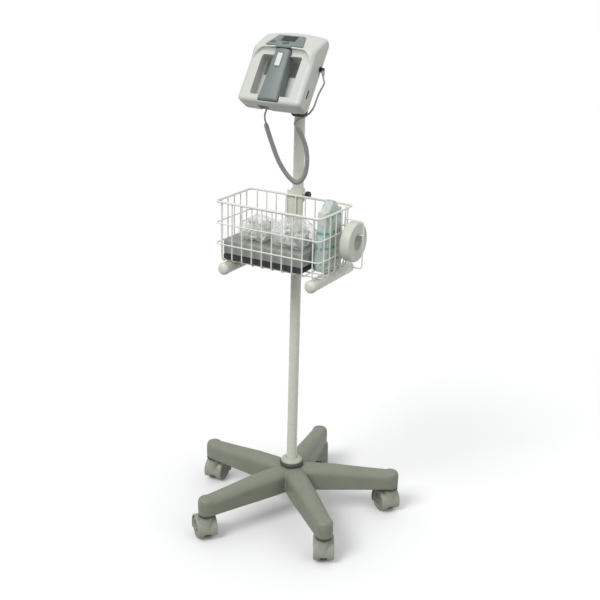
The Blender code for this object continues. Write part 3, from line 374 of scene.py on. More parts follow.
def together(name, parts):
    """Several meshes as one object."""
    bm = bmesh.new()
    for p in parts:
        bm.from_mesh(p.data)
        bpy.data.objects.remove(p, do_unlink=True)
    return from_bmesh(name, bm)


# ---------------------------------------------------------------- materials
def linear(rgb):
    return [((c / 255 + 0.055) / 1.055) ** 2.4 for c in rgb]


def surface(name, rgb, rough=(0.35, 0.5), grain=(0.0004, 0.00002), mottle=0.05, metal=0.0,
            coat=0.0, sheen=0.0, alpha=1.0, edge=0.10, dust=0.06, streak=None):
    """Colour that drifts over 20 to 60 mm, roughness that varies, a fine grain in relief,
    lighter worn edges, painted shade darkening the hollows and a little dust on what faces up."""
    m = bpy.data.materials.new(name)
    m.use_nodes = True
    t = m.node_tree
    link = t.links.new
    shader = t.nodes["Principled BSDF"]
    base = linear(rgb)
    coords = t.nodes.new("ShaderNodeTexCoord").outputs["Object"]

    def ranged(value, start, stop, low, high):
        r = t.nodes.new("ShaderNodeMapRange")
        for socket, number in (("From Min", start), ("From Max", stop), ("To Min", low),
                               ("To Max", high)):
            r.inputs[socket].default_value = number
        link(value, r.inputs["Value"])
        return r.outputs["Result"]

    def spread(scale, detail, low, high, stretch=None):
        source = coords
        if stretch:
            mapping = t.nodes.new("ShaderNodeMapping")
            mapping.inputs["Scale"].default_value = stretch
            link(coords, mapping.inputs["Vector"])
            source = mapping.outputs["Vector"]
        n = t.nodes.new("ShaderNodeTexNoise")
        n.inputs["Scale"].default_value = scale
        n.inputs["Detail"].default_value = detail
        link(source, n.inputs["Vector"])
        return ranged(n.outputs["Fac"], 0.3, 0.7, low, high)

    def mixed(factor, under, over, kind="MIX"):
        n = t.nodes.new("ShaderNodeMix")
        n.data_type, n.blend_type = "RGBA", kind
        for socket, value in ((n.inputs[0], factor), (n.inputs[6], under), (n.inputs[7], over)):
            if hasattr(value, "is_output"):
                link(value, socket)
            elif isinstance(value, (int, float)):
                socket.default_value = value
            else:
                socket.default_value = (*value, 1.0)
        return n.outputs[2]

    dark = [c * (1 - mottle) for c in base]
    light = [min(1.0, c * (1 + mottle)) for c in base]
    colour = mixed(spread(26.0, 3.0, 0.0, 1.0, streak), dark, light)
    geometry = t.nodes.new("ShaderNodeNewGeometry")
    # Pointiness lightens sharp edges by up to edge as wear, and darkens hollows by up to 2.5 times edge
    # towards 0.45 of the colour, as painted shade.
    for low, high, amount, tint in ((0.50, 0.56, edge, [min(1.0, c * 1.5 + 0.05) for c in base]),
                                    (0.49, 0.43, edge * 2.5, [c * 0.45 for c in base])):
        edge_wear_and_hollow_shade = ranged(geometry.outputs["Pointiness"], low, high, 0.0, amount)
        colour = mixed(edge_wear_and_hollow_shade, colour, tint)
    if dust:
        up = t.nodes.new("ShaderNodeSeparateXYZ")
        link(geometry.outputs["Normal"], up.inputs["Vector"])
        settled = ranged(up.outputs["Z"], 0.55, 1.0, 0.0, dust)
        cloud = t.nodes.new("ShaderNodeMath")
        cloud.operation = "MULTIPLY"
        link(settled, cloud.inputs[0])
        link(spread(140.0, 5.0, 0.2, 1.0), cloud.inputs[1])
        colour = mixed(cloud.outputs["Value"], colour, linear((196, 192, 182)))
    link(colour, shader.inputs["Base Color"])
    link(spread(70.0, 4.0, rough[0], rough[1], streak), shader.inputs["Roughness"])
    bump = t.nodes.new("ShaderNodeBump")
    bump.inputs["Distance"].default_value = grain[1]
    link(spread(1.0 / grain[0], 2.0, 0.0, 1.0, streak), bump.inputs["Height"])
    link(bump.outputs["Normal"], shader.inputs["Normal"])
    shader.inputs["Metallic"].default_value = metal
    shader.inputs["Coat Weight"].default_value = coat
    shader.inputs["Sheen Weight"].default_value = sheen
    shader.inputs["Alpha"].default_value = alpha
    m["base"] = [*base]
    return m


def printed(m, rgb, rows, row_high, dash, fill=0.5):
    """Rows of dashes printed over a material, at the given heights and round its sides."""
    t = m.node_tree
    link = t.links.new
    shader = t.nodes["Principled BSDF"]
    under = shader.inputs["Base Color"].links[0].from_socket
    coords = t.nodes.new("ShaderNodeTexCoord").outputs["Object"]
    split = t.nodes.new("ShaderNodeSeparateXYZ")
    link(coords, split.inputs["Vector"])

    def maths(operation, a, b):
        n = t.nodes.new("ShaderNodeMath")
        n.operation = operation
        for socket, value in zip(n.inputs, (a, b)):
            if isinstance(value, (int, float)):
                socket.default_value = value
            else:
                link(value, socket)
        return n.outputs["Value"]

    mask = None
    for i, height in enumerate(rows):
        away = maths("ABSOLUTE", maths("SUBTRACT", split.outputs["Z"], height), 0.0)
        row = maths("LESS_THAN", away, row_high / 2)
        across = maths("ADD", split.outputs["X"], split.outputs["Y"])
        step = maths("FLOOR", maths("DIVIDE", across, dash), 0.0)
        pick = t.nodes.new("ShaderNodeTexWhiteNoise")
        pick.noise_dimensions = "1D"
        link(maths("ADD", step, 17.0 * i), pick.inputs["W"])
        row = maths("MULTIPLY", row, maths("LESS_THAN", pick.outputs["Value"], fill))
        mask = row if mask is None else maths("MAXIMUM", mask, row)
    mix = t.nodes.new("ShaderNodeMix")
    mix.data_type = "RGBA"
    link(mask, mix.inputs[0])
    link(under, mix.inputs[6])
    mix.inputs[7].default_value = (*linear(rgb), 1.0)
    link(mix.outputs[2], shader.inputs["Base Color"])
    return m


LOOKS = {
    "grey_nylon": surface("grey_nylon", (126, 130, 115), (0.42, 0.58), (0.0005, 0.00004), 0.05),
    "grey_hood": surface("grey_hood", (152, 155, 141), (0.30, 0.45), (0.0004, 0.00002), 0.03),
    "wheel": surface("wheel", (138, 141, 128), (0.45, 0.65), (0.0006, 0.00003), 0.05, dust=0.12),
    "steel": surface("steel", (190, 192, 190), (0.22, 0.38), (0.0003, 0.00001), 0.05, metal=1.0),
    "dark_plastic": surface("dark_plastic", (62, 66, 62), (0.40, 0.55)),
    "light_plastic": surface("light_plastic", (176, 180, 166), (0.32, 0.45)),
    "white_powder": surface("white_powder", (208, 210, 197), (0.22, 0.34), (0.0016, 0.00005),
                            0.025, coat=0.25),
    "white_plastic": surface("white_plastic", (212, 214, 203), (0.28, 0.40), mottle=0.025),
    "black_plastic": surface("black_plastic", (26, 27, 27), (0.32, 0.48), dust=0.03),
    "cover_grey": surface("cover_grey", (152, 158, 152), (0.40, 0.55), (0.0005, 0.00003), 0.04),
    "bag": surface("bag", (247, 249, 247), (0.12, 0.30), (0.0025, 0.00030), 0.03, coat=0.4,
                   alpha=0.30, edge=0.06),
    "pack": surface("pack", (206, 222, 215), (0.16, 0.32), (0.0030, 0.00025), 0.05, coat=0.3,
                    alpha=0.66, edge=0.08),
    "ring_white": surface("ring_white", (206, 210, 198), (0.34, 0.46), mottle=0.03),
    "case": surface("case", (204, 207, 200), (0.34, 0.46), (0.0005, 0.00003), 0.02),
    "trim": surface("trim", (120, 130, 127), (0.36, 0.50), (0.0005, 0.00003), 0.03),
    "key": surface("key", (86, 95, 92), (0.35, 0.50), (0.0004, 0.00002), 0.04),
    "lens": surface("lens", (34, 50, 44), (0.10, 0.18), (0.0100, 0.00001), 0.02, coat=0.3,
                    alpha=0.55, dust=0.02),
    "lcd": surface("lcd", (62, 76, 66), (0.30, 0.42), (0.0002, 0.00001), 0.04),
    "board": surface("board", (22, 92, 58), (0.28, 0.45), (0.0015, 0.00010), 0.10),
    "battery": surface("battery", (46, 66, 96), (0.25, 0.40), (0.0010, 0.00003), 0.06),
    "button": surface("button", (216, 220, 212), (0.30, 0.42), mottle=0.02),
    "cord": surface("cord", (142, 145, 138), (0.38, 0.52), (0.0008, 0.00003), 0.04, sheen=0.15),
}
SEGMENT = surface("segment", (48, 60, 52), (0.35, 0.50), (0.0002, 0.00001), 0.03)
WIRE = surface("wire_coat", (226, 228, 216), (0.22, 0.34), (0.0016, 0.00004), 0.025, coat=0.25)
PRINT = surface("print", (70, 82, 84), (0.45, 0.60), (0.0003, 0.00001), 0.05)

# ---------------------------------------------------------------- camera
CAMERA_AT = Vector((1.2456, -2.1480, 1.4638))
CAMERA_HEADING, CAMERA_DOWN, CAMERA_ROLL = math.radians(29.855), math.radians(19.707), math.radians(1.477)
LENS = 65.74


def set_camera():
    ahead = Vector((-math.sin(CAMERA_HEADING) * math.cos(CAMERA_DOWN),
                    math.cos(CAMERA_HEADING) * math.cos(CAMERA_DOWN), -math.sin(CAMERA_DOWN)))
    level = Vector((math.cos(CAMERA_HEADING), math.sin(CAMERA_HEADING), 0))
    top = level.cross(ahead)
    right = level * math.cos(CAMERA_ROLL) + top * math.sin(CAMERA_ROLL)
    up = top * math.cos(CAMERA_ROLL) - level * math.sin(CAMERA_ROLL)
    data = bpy.data.cameras.new("camera")
    data.sensor_width, data.lens = 36.0, LENS
    data.clip_start, data.clip_end = 0.05, 50.0
    o = bpy.data.objects.new("camera", data)
    bpy.context.scene.collection.objects.link(o)
    o.matrix_world = SHIFT @ Matrix.Translation(CAMERA_AT) @ Matrix(
        (right, up, -ahead)).transposed().to_4x4()
    bpy.context.scene.camera = o


set_camera()


# ---------------------------------------------------------------- curly cord and its plug
def smooth_path(points, step):
    """An even set of points on a smooth curve through the given ones."""
    pts = [Vector(p) for p in points]
    pts = [pts[0] * 2 - pts[1]] + pts + [pts[-1] * 2 - pts[-2]]
    dense = []
    for p0, p1, p2, p3 in zip(pts, pts[1:], pts[2:], pts[3:]):
        for k in range(16):
            t = k / 16
            dense.append(0.5 * (2 * p1 + (p2 - p0) * t + (2 * p0 - 5 * p1 + 4 * p2 - p3) * t * t
                                + (3 * p1 - p0 - 3 * p2 + p3) * t ** 3))
    dense.append(pts[-2])
    gaps = [(b - a).length for a, b in zip(dense, dense[1:])]
    count = max(2, round(sum(gaps) / step))
    out, run, k = [dense[0]], 0.0, 0
    for i in range(1, count):
        want = sum(gaps) * i / count
        while run + gaps[k] < want:
            run += gaps[k]
            k += 1
        out.append(dense[k].lerp(dense[k + 1], (want - run) / gaps[k]))
    return out + [dense[-1]]


RELIEF = Vector((-0.0180, 0.0060, HANDSET_BACK - 0.0060 - GAP))
PLUG_AT = Vector((0.0852, JACK_U, JACK_N))
PLUG_DIR = Vector((0.42, -1.0, 0.0)).normalized()
PLUG_END = PLUG_AT + PLUG_DIR * 0.0160
STUB = [head(*RELIEF) - OUT * 0.0004, head(*RELIEF) - OUT * 0.0060,
        head(-0.0215, 0.0010, -0.0410), head(-0.0255, -0.0090, -0.0475)]
COIL = [Vector(p) for p in (
    (-0.0320, -0.0958, 1.0156), (-0.0290, -0.0945, 1.0020), (-0.0190, -0.0900, 0.9700),
    (-0.0020, -0.0860, 0.9290), (0.0200, -0.0830, 0.8990), (0.0420, -0.0820, 0.8860),
    (0.0600, -0.0820, 0.8990), (0.0680, -0.0820, 0.9270), (0.0660, -0.0820, 0.9620),
    (0.0560, -0.0830, 0.9890), (0.0450, -0.0840, 1.0060), (0.0410, -0.0850, 1.0120))]
LEAD = [Vector((0.0480, -0.0870, 1.0290)), Vector((0.0640, -0.0840, 1.0370)),
        Vector((0.0830, -0.0870, 1.0560)), Vector((0.0880, -0.0740, 1.0850)),
        head(0.0990, JACK_U - 0.0310, JACK_N), head(*(PLUG_END + PLUG_DIR * 0.0080)),
        head(*(PLUG_END + PLUG_DIR * 0.0007))]


def cord_centreline():
    """The axis through stub, coil and lead, with the coil's turns wound round its part."""
    coil_in = (COIL[1] - COIL[0]).normalized()
    coil_out = (COIL[-1] - COIL[-2]).normalized()
    first = smooth_path(STUB + [COIL[0] - coil_in * 0.0060, COIL[0]], 0.0018)[:-1]
    middle = smooth_path(COIL, PITCH / 14)
    last = smooth_path([COIL[-1], COIL[-1] + coil_out * 0.0080] + LEAD, 0.0022)[1:]
    turns = len(middle) - 1
    out, side = list(first), None
    for i, p in enumerate(middle):
        d = (middle[min(i + 1, turns)] - middle[max(i - 1, 0)]).normalized()
        side = frame_of(d)[0] if side is None else (side - d * side.dot(d)).normalized()
        near_end = min(i, turns - i) / 28
        t = min(1.0, near_end)
        radius = HELIX_R * t * t * (3 - 2 * t)
        w = 2 * math.pi * i / 14
        out.append(p + side * (radius * math.cos(w)) + d.cross(side) * (radius * math.sin(w)))
    return out + last


def make_cord():
    plug = lathe("plug_body", [(0, -0.0030), (0.0042, -0.0030), (0.0045, 0.0030),
                               (0.0045, 0.0062), (0.0034, 0.0074), (0, 0.0074)],
                 (0.0814, JACK_U, JACK_N), (1, 0, 0), 48, 0.0010)
    pin = rod("plug_pin", (0.0709, JACK_U, JACK_N), (0.0800, JACK_U, JACK_N), 0.0018, 24)
    plug = piece(together("plug", [plug, pin]), "head", "black_plastic",
                 stands_for=("jack_plug",), place=HEAD)
    boot = lathe("plug_boot", [(0, 0.0040), (0.0033, 0.0040), (0.0034, 0.0072),
                               (0.0028, 0.0078), (0.0033, 0.0084), (0.0032, 0.0100),
                               (0.0026, 0.0106), (0.0031, 0.0112), (0.0030, 0.0128),
                               (0.0024, 0.0134), (0.0028, 0.0140), (0.0027, 0.0158),
                               (0, 0.0160)], PLUG_AT, PLUG_DIR, 40, 0.0003)
    piece(boot, "head", "cord", place=HEAD)
    path = cord_centreline()
    o = bar("cord", path, CORD_R, 10)
    o.data.transform(SHIFT)
    o.data.materials.append(LOOKS["cord"])
    shade(o, 60)
    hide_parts("cord_stub", "cord_coil", "cord_lead")
    shown = [SHIFT @ p for p in path]
    length = sum((b - a).length for a, b in zip(shown, shown[1:]))
    [tuple(p) for p in shown]
    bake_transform(o)


make_cord()


# ---------------------------------------------------------------- star base and pole
def arm_ring(r, w, top, heading):
    """Cross-section of an arm: flat below, straight flanks and a rounded back."""
    low = min(0.75 * w, 0.62 * (top - ARM_BOTTOM))
    half = [(w - 0.0020, ARM_BOTTOM), (w, ARM_BOTTOM + 0.0020)]
    for k in range(13):
        a = math.pi / 2 * k / 12
        half.append((w * math.cos(a) ** 0.9 if k < 12 else 0.0, top - low + low * math.sin(a)))
    ring = half + [(-y, z) for y, z in half[-2::-1]]
    c, s = math.cos(heading), math.sin(heading)
    return [Vector((r * c - y * s, r * s + y * c, z)) for y, z in ring]


def star_base():
    """Five hollow arms that run into one another at the middle."""
    parts = []
    slope = HUB_TOP + 0.004 - ARM_TIP_TOP
    for i in range(5):
        g = math.radians(ARM_FIRST_DEG + 72.0 * i)
        tip = (STEM_RADIUS * math.cos(g), STEM_RADIUS * math.sin(g), 0)
        arm = loft("arm", [arm_ring(r, w, z, g) for r, w, z in (
            (0.012, 0.0250, HUB_TOP - 0.001), (0.060, 0.0276, HUB_TOP - 0.002),
            (0.110, 0.0262, ARM_TIP_TOP + 0.62 * slope), (0.180, 0.0238, ARM_TIP_TOP + 0.30 * slope),
            (STEM_RADIUS, 0.0216, ARM_TIP_TOP))])
        dome = lathe("tip", [(0, ARM_BOTTOM), (0.0208, ARM_BOTTOM), (0.0208, ARM_TIP_TOP),
                             (0, ARM_TIP_TOP)], tip, r=0.0135)
        foot = lathe("foot", [(0, ARM_BOTTOM), (0.0205, ARM_BOTTOM), (0.0205, 0.0900),
                              (0, 0.0900)], tip, r=0.001)
        parts += [arm, dome, foot]
    o = weld(*parts)
    o.name = "base"
    for i in range(5):
        g = math.radians(ARM_FIRST_DEG + 72.0 * i)
        turn = Matrix.Rotation(g, 4, "Z")
        for start, end in ((0.066, 0.108), (0.114, 0.160), (0.166, 0.212)):
            pocket = block("pocket", (start, -0.0165, 0.060), (end, 0.0165, 0.0960), 0.004)
            pocket.data.transform(turn)
            cut(o, pocket)
    fuse(o, 0.0018, 9, 0.45)
    piece(o, "stand", "grey_nylon", stands_for=("star_base",), angle=60)


def pole():
    ring = lathe("hub_seal", [(0.0140, 0.1343), (0.0297, 0.1343), (0.0297, 0.1395),
                              (0.0280, 0.1425), (0.0140, 0.1425)], sides=96, r=0.0012)
    piece(ring, "stand", "dark_plastic", stands_for=("hub_ring",))
    collar = lathe("hub_cone", [(0.0131, 0.1428), (0.0264, 0.1428), (0.0264, 0.1462),
                                (0.0240, 0.1498), (0.0165, 0.1515), (0.0160, 0.1522),
                                (0.0131, 0.1522)], sides=96, r=0.0010)
    piece(collar, "stand", "light_plastic", stands_for=("hub_collar",))
    low, high = laid("pole")
    tube = lathe("pole_tube", [(POLE_R - 0.0020, low.z), (POLE_R, low.z), (POLE_R, high.z),
                               (POLE_R - 0.0020, high.z)], sides=96, r=0.0004)
    piece(tube, "stand", "white_powder", stands_for=("pole",))


star_base()
pole()


# ---------------------------------------------------------------- castors
def caster(number, place):
    """Own frame: swivel axis on Z, axle along Y, wheels trail towards +X."""
    swivel, wheels = "swivel_%d" % number, "wheels_%d" % number
    axle = Vector((CASTER_TRAIL, 0, WHEEL_R))
    outline = arc(axle.x, axle.z, 0.0325, range(-28, 209, 4))
    hood = slab("hood", outline, -0.0252, 0.0252, 0.0030, 5, (0, 2, 1))
    boss = lathe("boss", [(0, 0.030), (0.0150, 0.030), (0.0140, 0.0600), (0.0125, 0.0662),
                          (0, 0.0662)], r=0.0020)
    weld(hood, boss)
    for side in (-1, 1):
        cut(hood, lathe("pocket", [(0, 0.0083), (WHEEL_R + 0.0014, 0.0083),
                                   (WHEEL_R + 0.0014, 0.0243), (WHEEL_R + 0.0026, 0.0249),
                                   (WHEEL_R + 0.0026, 0.0400), (0, 0.0400)],
                        axle + Vector((0.00001, 0, 0.00001)), (0, side, 0), 72, 0))
    cut(hood, block("mouth", (-0.0200, -0.0090, -0.0100), (0.0600, 0.0090, 0.0186), 0.0012))
    fuse(hood, 0.0008, 3, 0.35)
    piece(hood, swivel, "grey_hood", stands_for=("caster_hood_%d" % number,), angle=60,
          place=place).name = "hood_%d" % number
    # A black slab under the hood between the wheels: painted shadow standing for the dark gap there.
    wheel_gap_shadow_outline = arc(axle.x, axle.z, 0.0268, range(201, 340, 6))
    wheel_gap_shadow = slab("guard_%d" % number, wheel_gap_shadow_outline, -0.0080, 0.0080, 0.0008, 2, (0, 2, 1))
    piece(wheel_gap_shadow, swivel, "black_plastic", place=place)
    # A dark disc filling the space between the arm's tip and the hood: painted shadow for the gap between
    # them.
    shadow_gap_disc = lathe("washer_%d" % number, [(0.0048, 0.0666), (0.0198, 0.0666),
                                          (0.0203, 0.0680), (0.0203, 0.0705),
                                          (0.0198, 0.0716), (0.0048, 0.0716)], r=0.0006)
    piece(shadow_gap_disc, swivel, "dark_plastic", place=place)
    stem = lathe("stem_%d" % number, [(0, 0.0500), (0.0047, 0.0500), (0.0047, 0.0780),
                                      (0.0042, 0.0784), (0.0042, 0.0800), (0.0047, 0.0804),
                                      (0.0047, 0.0950), (0.0036, 0.0965), (0, 0.0965)],
                 sides=48, r=0.0003)
    piece(stem, swivel, "steel", stands_for=("caster_stem_%d" % number,), place=place)
    half, outer, r = WHEEL_GAP / 2, WHEEL_GAP / 2 + WHEEL_W, WHEEL_R
    tread = [(0, -outer + 0.0052), (0.0035, -outer + 0.0052), (0.0042, -outer + 0.0030),
             (0.0060, -outer + 0.0030), (0.0066, -outer + 0.0046), (0.0168, -outer + 0.0040),
             (0.0180, -outer + 0.0008), (0.0212, -outer + 0.0002), (0.0218, -outer + 0.0010),
             (0.0224, -outer + 0.0002), (r - 0.0022, -outer + 0.0008), (r, -outer + 0.0034),
             (r, -half - 0.0022), (r - 0.0016, -half), (0.0160, -half), (0.0150, -half + 0.0007),
             (0.0029, -half + 0.0007)]
    tread += [(a, -b) for a, b in tread[::-1]]
    pair = lathe("wheels_%d_pair" % number, tread, axle, (0, 1, 0), 80, 0.0004)
    ribs = [pair]
    for side in (-1, 1):
        for k in range(6):
            rib = block("rib", (0.0062, side * (outer - 0.0044) - 0.0008, -0.0008),
                        (0.0172, side * (outer - 0.0044) + 0.0018, 0.0008), 0.0003, 1)
            rib.data.transform(Matrix.Translation(axle) @ Matrix.Rotation(math.pi * k / 3, 4, "Y"))
            ribs.append(rib)
    piece(together("wheel_pair_%d" % number, ribs), wheels, "wheel",
          stands_for=("caster_wheels_%d" % number,), place=place, angle=35)


for index in range(5):
    heading = math.radians(ARM_FIRST_DEG + 72.0 * index)
    stem_at = Matrix.Translation((STEM_RADIUS * math.cos(heading),
                                  STEM_RADIUS * math.sin(heading), 0))
    caster(index + 1, stem_at @ Matrix.Rotation(math.radians(CASTER_HEADINGS_DEG[index]), 4, "Z"))


# ---------------------------------------------------------------- basket
def trough(a0, a1, low, top, place, r=0.009, steps=6):
    """Down one side, across the bottom and up the other."""
    pts = [place(a0, top + (low - top) * k / 3) for k in range(3)]
    for centre, start in ((a0 + r, 180), (a1 - r, 270)):
        for k in range(steps + 1):
            g = math.radians(start + 90 * k / steps)
            pts.append(place(centre + r * math.cos(g), low + r + r * math.sin(g)))
    return pts + [place(a1, top + (low - top) * k / 3) for k in (2, 1, 0)]


def basket():
    inner_w = BASKET_W - 2 * RIM_R - 2 * WIRE_R
    inner_d = BASKET_D - 2 * RIM_R - 2 * WIRE_R
    x0, x1 = BASKET_X - inner_w / 2, BASKET_X + inner_w / 2
    y0, y1 = BASKET_Y - inner_d / 2, BASKET_Y + inner_d / 2
    xs = [BASKET_X + (i - (WIRES_ACROSS - 1) / 2) * WIRE_STEP for i in range(WIRES_ACROSS)]
    ys = [BASKET_Y + (i - (WIRES_ALONG - 1) / 2) * WIRE_STEP for i in range(WIRES_ALONG)]
    parts = [bar("w", trough(y0, y1, BASKET_BOTTOM + 0.0024, RIM_Z + 0.0008,
                             lambda a, z, x=x: (x, a, z)), WIRE_R) for x in xs]
    parts += [bar("w", trough(x0, x1, BASKET_BOTTOM, RIM_Z + 0.0008,
                              lambda a, z, y=y: (a, y, z)), WIRE_R) for y in ys]
    loops = [(z, 0.0048, WIRE_R) for z in RING_Z] + [(RIM_Z, 0.0034, RIM_R)]
    for z, out, radius in loops:
        path = round_rect(inner_w + out, inner_d + out, 0.012, 6, (BASKET_X, BASKET_Y))
        parts.append(bar("w", [(x, y, z) for x, y in path], radius, 16, True))
    spots = []
    for z, out, radius in loops:
        for x in xs:
            spots += [(x, y0 - out / 4, z), (x, y1 + out / 4, z)]
        for y in ys:
            spots += [(x0 - out / 4, y, z), (x1 + out / 4, y, z)]
    spots += [(x, y, BASKET_BOTTOM + 0.0012) for x in xs for y in ys]
    for spot in spots:
        bead = lathe("bead", [(0, -0.0023), (0.0014, -0.0017), (0.0021, 0.0), (0.0014, 0.0017),
                              (0, 0.0023)], spot, (0, 0, 1), 10, 0)
        parts.append(bead)
    piece(together("wire_basket", parts), "stand", "white_powder", WIRE, stands_for=("basket",),
          angle=70)


def basket_fittings():
    low, high = laid("basket_bracket")
    plate = block("bracket_plate", low, high, 0.0008)
    for z in (low.z + 0.012, high.z - 0.014):
        cut(plate, rod("hole", (0, low.y - 0.01, z), (0, high.y + 0.01, z), 0.0026, 32, 0))
    piece(plate, "stand", "white_powder", stands_for=("basket_bracket",))
    low, high = laid("pole_clamp")
    collar = lathe("clamp_collar", [(POLE_R + GAP, low.z), (POLE_R + 0.0038, low.z),
                                    (POLE_R + 0.0038, high.z), (POLE_R + GAP, high.z)],
                   sides=96, r=0.0012)
    weld(collar, rod("boss", (0.0140, 0, CLAMP_Z), (0.0215, 0, CLAMP_Z), 0.0062, 48, 0.0010))
    cut(collar, rod("bore", (0.010, 0, CLAMP_Z), (0.03, 0, CLAMP_Z), 0.0024, 24, 0),
        block("flat", (-0.03, -0.03, 0.80), (0.03, laid("basket_bracket")[1].y + GAP, 0.87), 0))
    piece(collar, "stand", "white_powder", stands_for=("pole_clamp",), angle=35)
    at = (0.0218, 0, CLAMP_Z)
    screw = lathe("screw", [(0, -0.0085), (0.0022, -0.0085), (0.0022, 0.0003),
                            (0.0060, 0.0003), (0.0078, 0.0016), (0.0080, 0.0090),
                            (0.0066, 0.0104), (0.0030, 0.0104), (0.0026, 0.0096), (0, 0.0096)],
                  at, (1, 0, 0), 96, 0.0006, (8, 0.0012, 0.0062))
    piece(screw, "clamp_knob", "black_plastic", stands_for=("clamp_screw",)).name = "clamp_grip"
    tubes = rod("tubes", (TUBE_X[0], TUBE_FRONT, TUBE_Z), (TUBE_X[0], TUBE_BACK, TUBE_Z), TUBE_R,
                64)
    weld(tubes, rod("t", (TUBE_X[1], TUBE_FRONT, TUBE_Z), (TUBE_X[1], TUBE_BACK, TUBE_Z), TUBE_R,
                    64),
         rod("t", (TUBE_X[0], -0.0300, TUBE_Z), (TUBE_X[1], -0.0300, TUBE_Z), 0.0090, 48))
    piece(tubes, "stand", "white_powder", stands_for=("support_frame",), angle=35)
    for side, x in zip(("left", "right"), TUBE_X):
        cap = lathe("cap_" + side, [(0, GAP), (TUBE_R + 0.0007, GAP), (TUBE_R + 0.0007, 0.0062),
                                    (0.0126, 0.0100), (0.0090, 0.0128), (0.0045, 0.0140),
                                    (0, 0.0142)], (x, TUBE_FRONT, TUBE_Z), (0, -1, 0), 72, 0.0012)
        piece(cap, "stand", "white_plastic", stands_for=("tube_cap_" + side,))
        plug = lathe("end_" + side, [(0, 0), (0.0112, 0), (0.0112, 0.0012), (0, 0.0020)],
                     (x, TUBE_BACK, TUBE_Z), (0, 1, 0), 48, 0.0004)
        piece(plug, "stand", "dark_plastic")
    low, high = laid("frame_clamp")
    grip = block("frame_grip", low, high, 0.0030, 4)
    weld(grip, block("foot", (-0.0150, -0.0420, low.z), (0.0150, -0.0150, high.z), 0.0024, 4))
    cut(grip, rod("p", (0, 0, 0.6), (0, 0, 0.8), POLE_R + GAP, 64, 0),
        rod("x", (-0.05, -0.0300, TUBE_Z), (0.05, -0.0300, TUBE_Z), 0.0090 + GAP, 48, 0),
        block("split", (0.0100, -0.0004, 0.6), (0.0300, 0.0006, 0.8), 0))
    for z in (TUBE_Z - 0.0060, TUBE_Z + 0.0060):
        cut(grip, rod("sink", (0.0158, 0.0120, z), (0.0158, 0.0300, z), 0.0032, 32, 0))
    piece(grip, "stand", "white_powder", stands_for=("frame_clamp",), angle=35)
    bolts = [lathe("bolt", [(0, 0), (0.0028, 0), (0.0028, 0.0022), (0.0014, 0.0022),
                            (0.0012, 0.0010), (0, 0.0010)], (0.0158, 0.0120, z), (0, 1, 0), 24,
                   0.0002) for z in (TUBE_Z - 0.0060, TUBE_Z + 0.0060)]
    piece(together("frame_bolts", bolts), "stand", "steel")


basket()
basket_fittings()


# ---------------------------------------------------------------- power unit in the basket
def power_unit():
    low, high = laid("unit_base")
    base = block("unit_foot", low, high, 0.0014)
    for y in (low.y + 0.030, low.y + 0.062):
        cut(base, block("groove", (low.x - 0.01, y, high.z - 0.0040),
                        (low.x + 0.0010, y + 0.014, high.z - 0.0020), 0))
    piece(base, "stand", "black_plastic", stands_for=("unit_base",), angle=35)
    low, high = laid("unit_cover")
    width, depth = high.x - low.x, high.y - low.y
    outline = round_rect(width, depth, 0.0060, 6, ((low.x + high.x) / 2, (low.y + high.y) / 2))
    cover = slab("unit_shell", outline, low.z, high.z, 0.0038, 5)
    cut(cover, block("panel", (low.x + 0.020, low.y + 0.018, high.z - 0.0008),
                     (high.x - 0.020, high.y - 0.018, high.z + 0.01), 0.0006))
    for side in (-1, 1):
        x = low.x if side < 0 else high.x
        for k in range(6):
            y = low.y + 0.028 + 0.008 * k
            cut(cover, block("vent", (x - 0.0012, y, low.z + 0.009), (x + 0.0012, y + 0.0030,
                                                                    low.z + 0.023), 0.0004, 1))
    cut(cover, block("socket", (low.x + 0.030, high.y - 0.0060, low.z + 0.008),
                     (low.x + 0.052, high.y + 0.01, low.z + 0.022), 0.0008))
    fuse(cover, 0.0011, 2, 0.35)
    piece(cover, "stand", "cover_grey", stands_for=("unit_cover",), angle=60)
    inlet = block("unit_inlet", (low.x + 0.0312, high.y - 0.0052, low.z + 0.0092),
                  (low.x + 0.0508, high.y - 0.0030, low.z + 0.0208), 0.0008)
    piece(inlet, "stand", "black_plastic")


power_unit()


# ---------------------------------------------------------------- film bags and what is in them
def chance(seed):
    """A repeatable run of numbers from 0 to 1."""
    state = seed
    while True:
        state = (state * 1103515245 + 12345) % 2147483648
        yield state / 2147483648


def pillow(name, low, high, pinch, square, cells=26):
    """A closed film bag: full in the middle, drawn in to a flat seal along its top."""
    bm = bmesh.new()
    bmesh.ops.create_cube(bm, size=2.0)
    bmesh.ops.subdivide_edges(bm, edges=bm.edges[:], cuts=cells, use_grid_fill=True)
    middle, half = (low + high) / 2, (high - low) / 2
    for v in bm.verts:
        p = v.co
        size = (abs(p.x) ** square + abs(p.y) ** square + abs(p.z) ** square) ** (1 / square)
        q = p / size
        up = max(0.0, q.z)
        narrow = 1.0 - pinch * up ** 3
        v.co = (middle.x + half.x * q.x * (1.0 - 0.15 * pinch * up ** 3),
                middle.y + half.y * q.y * narrow, middle.z + half.z * q.z)
    return from_bmesh(name, bm)


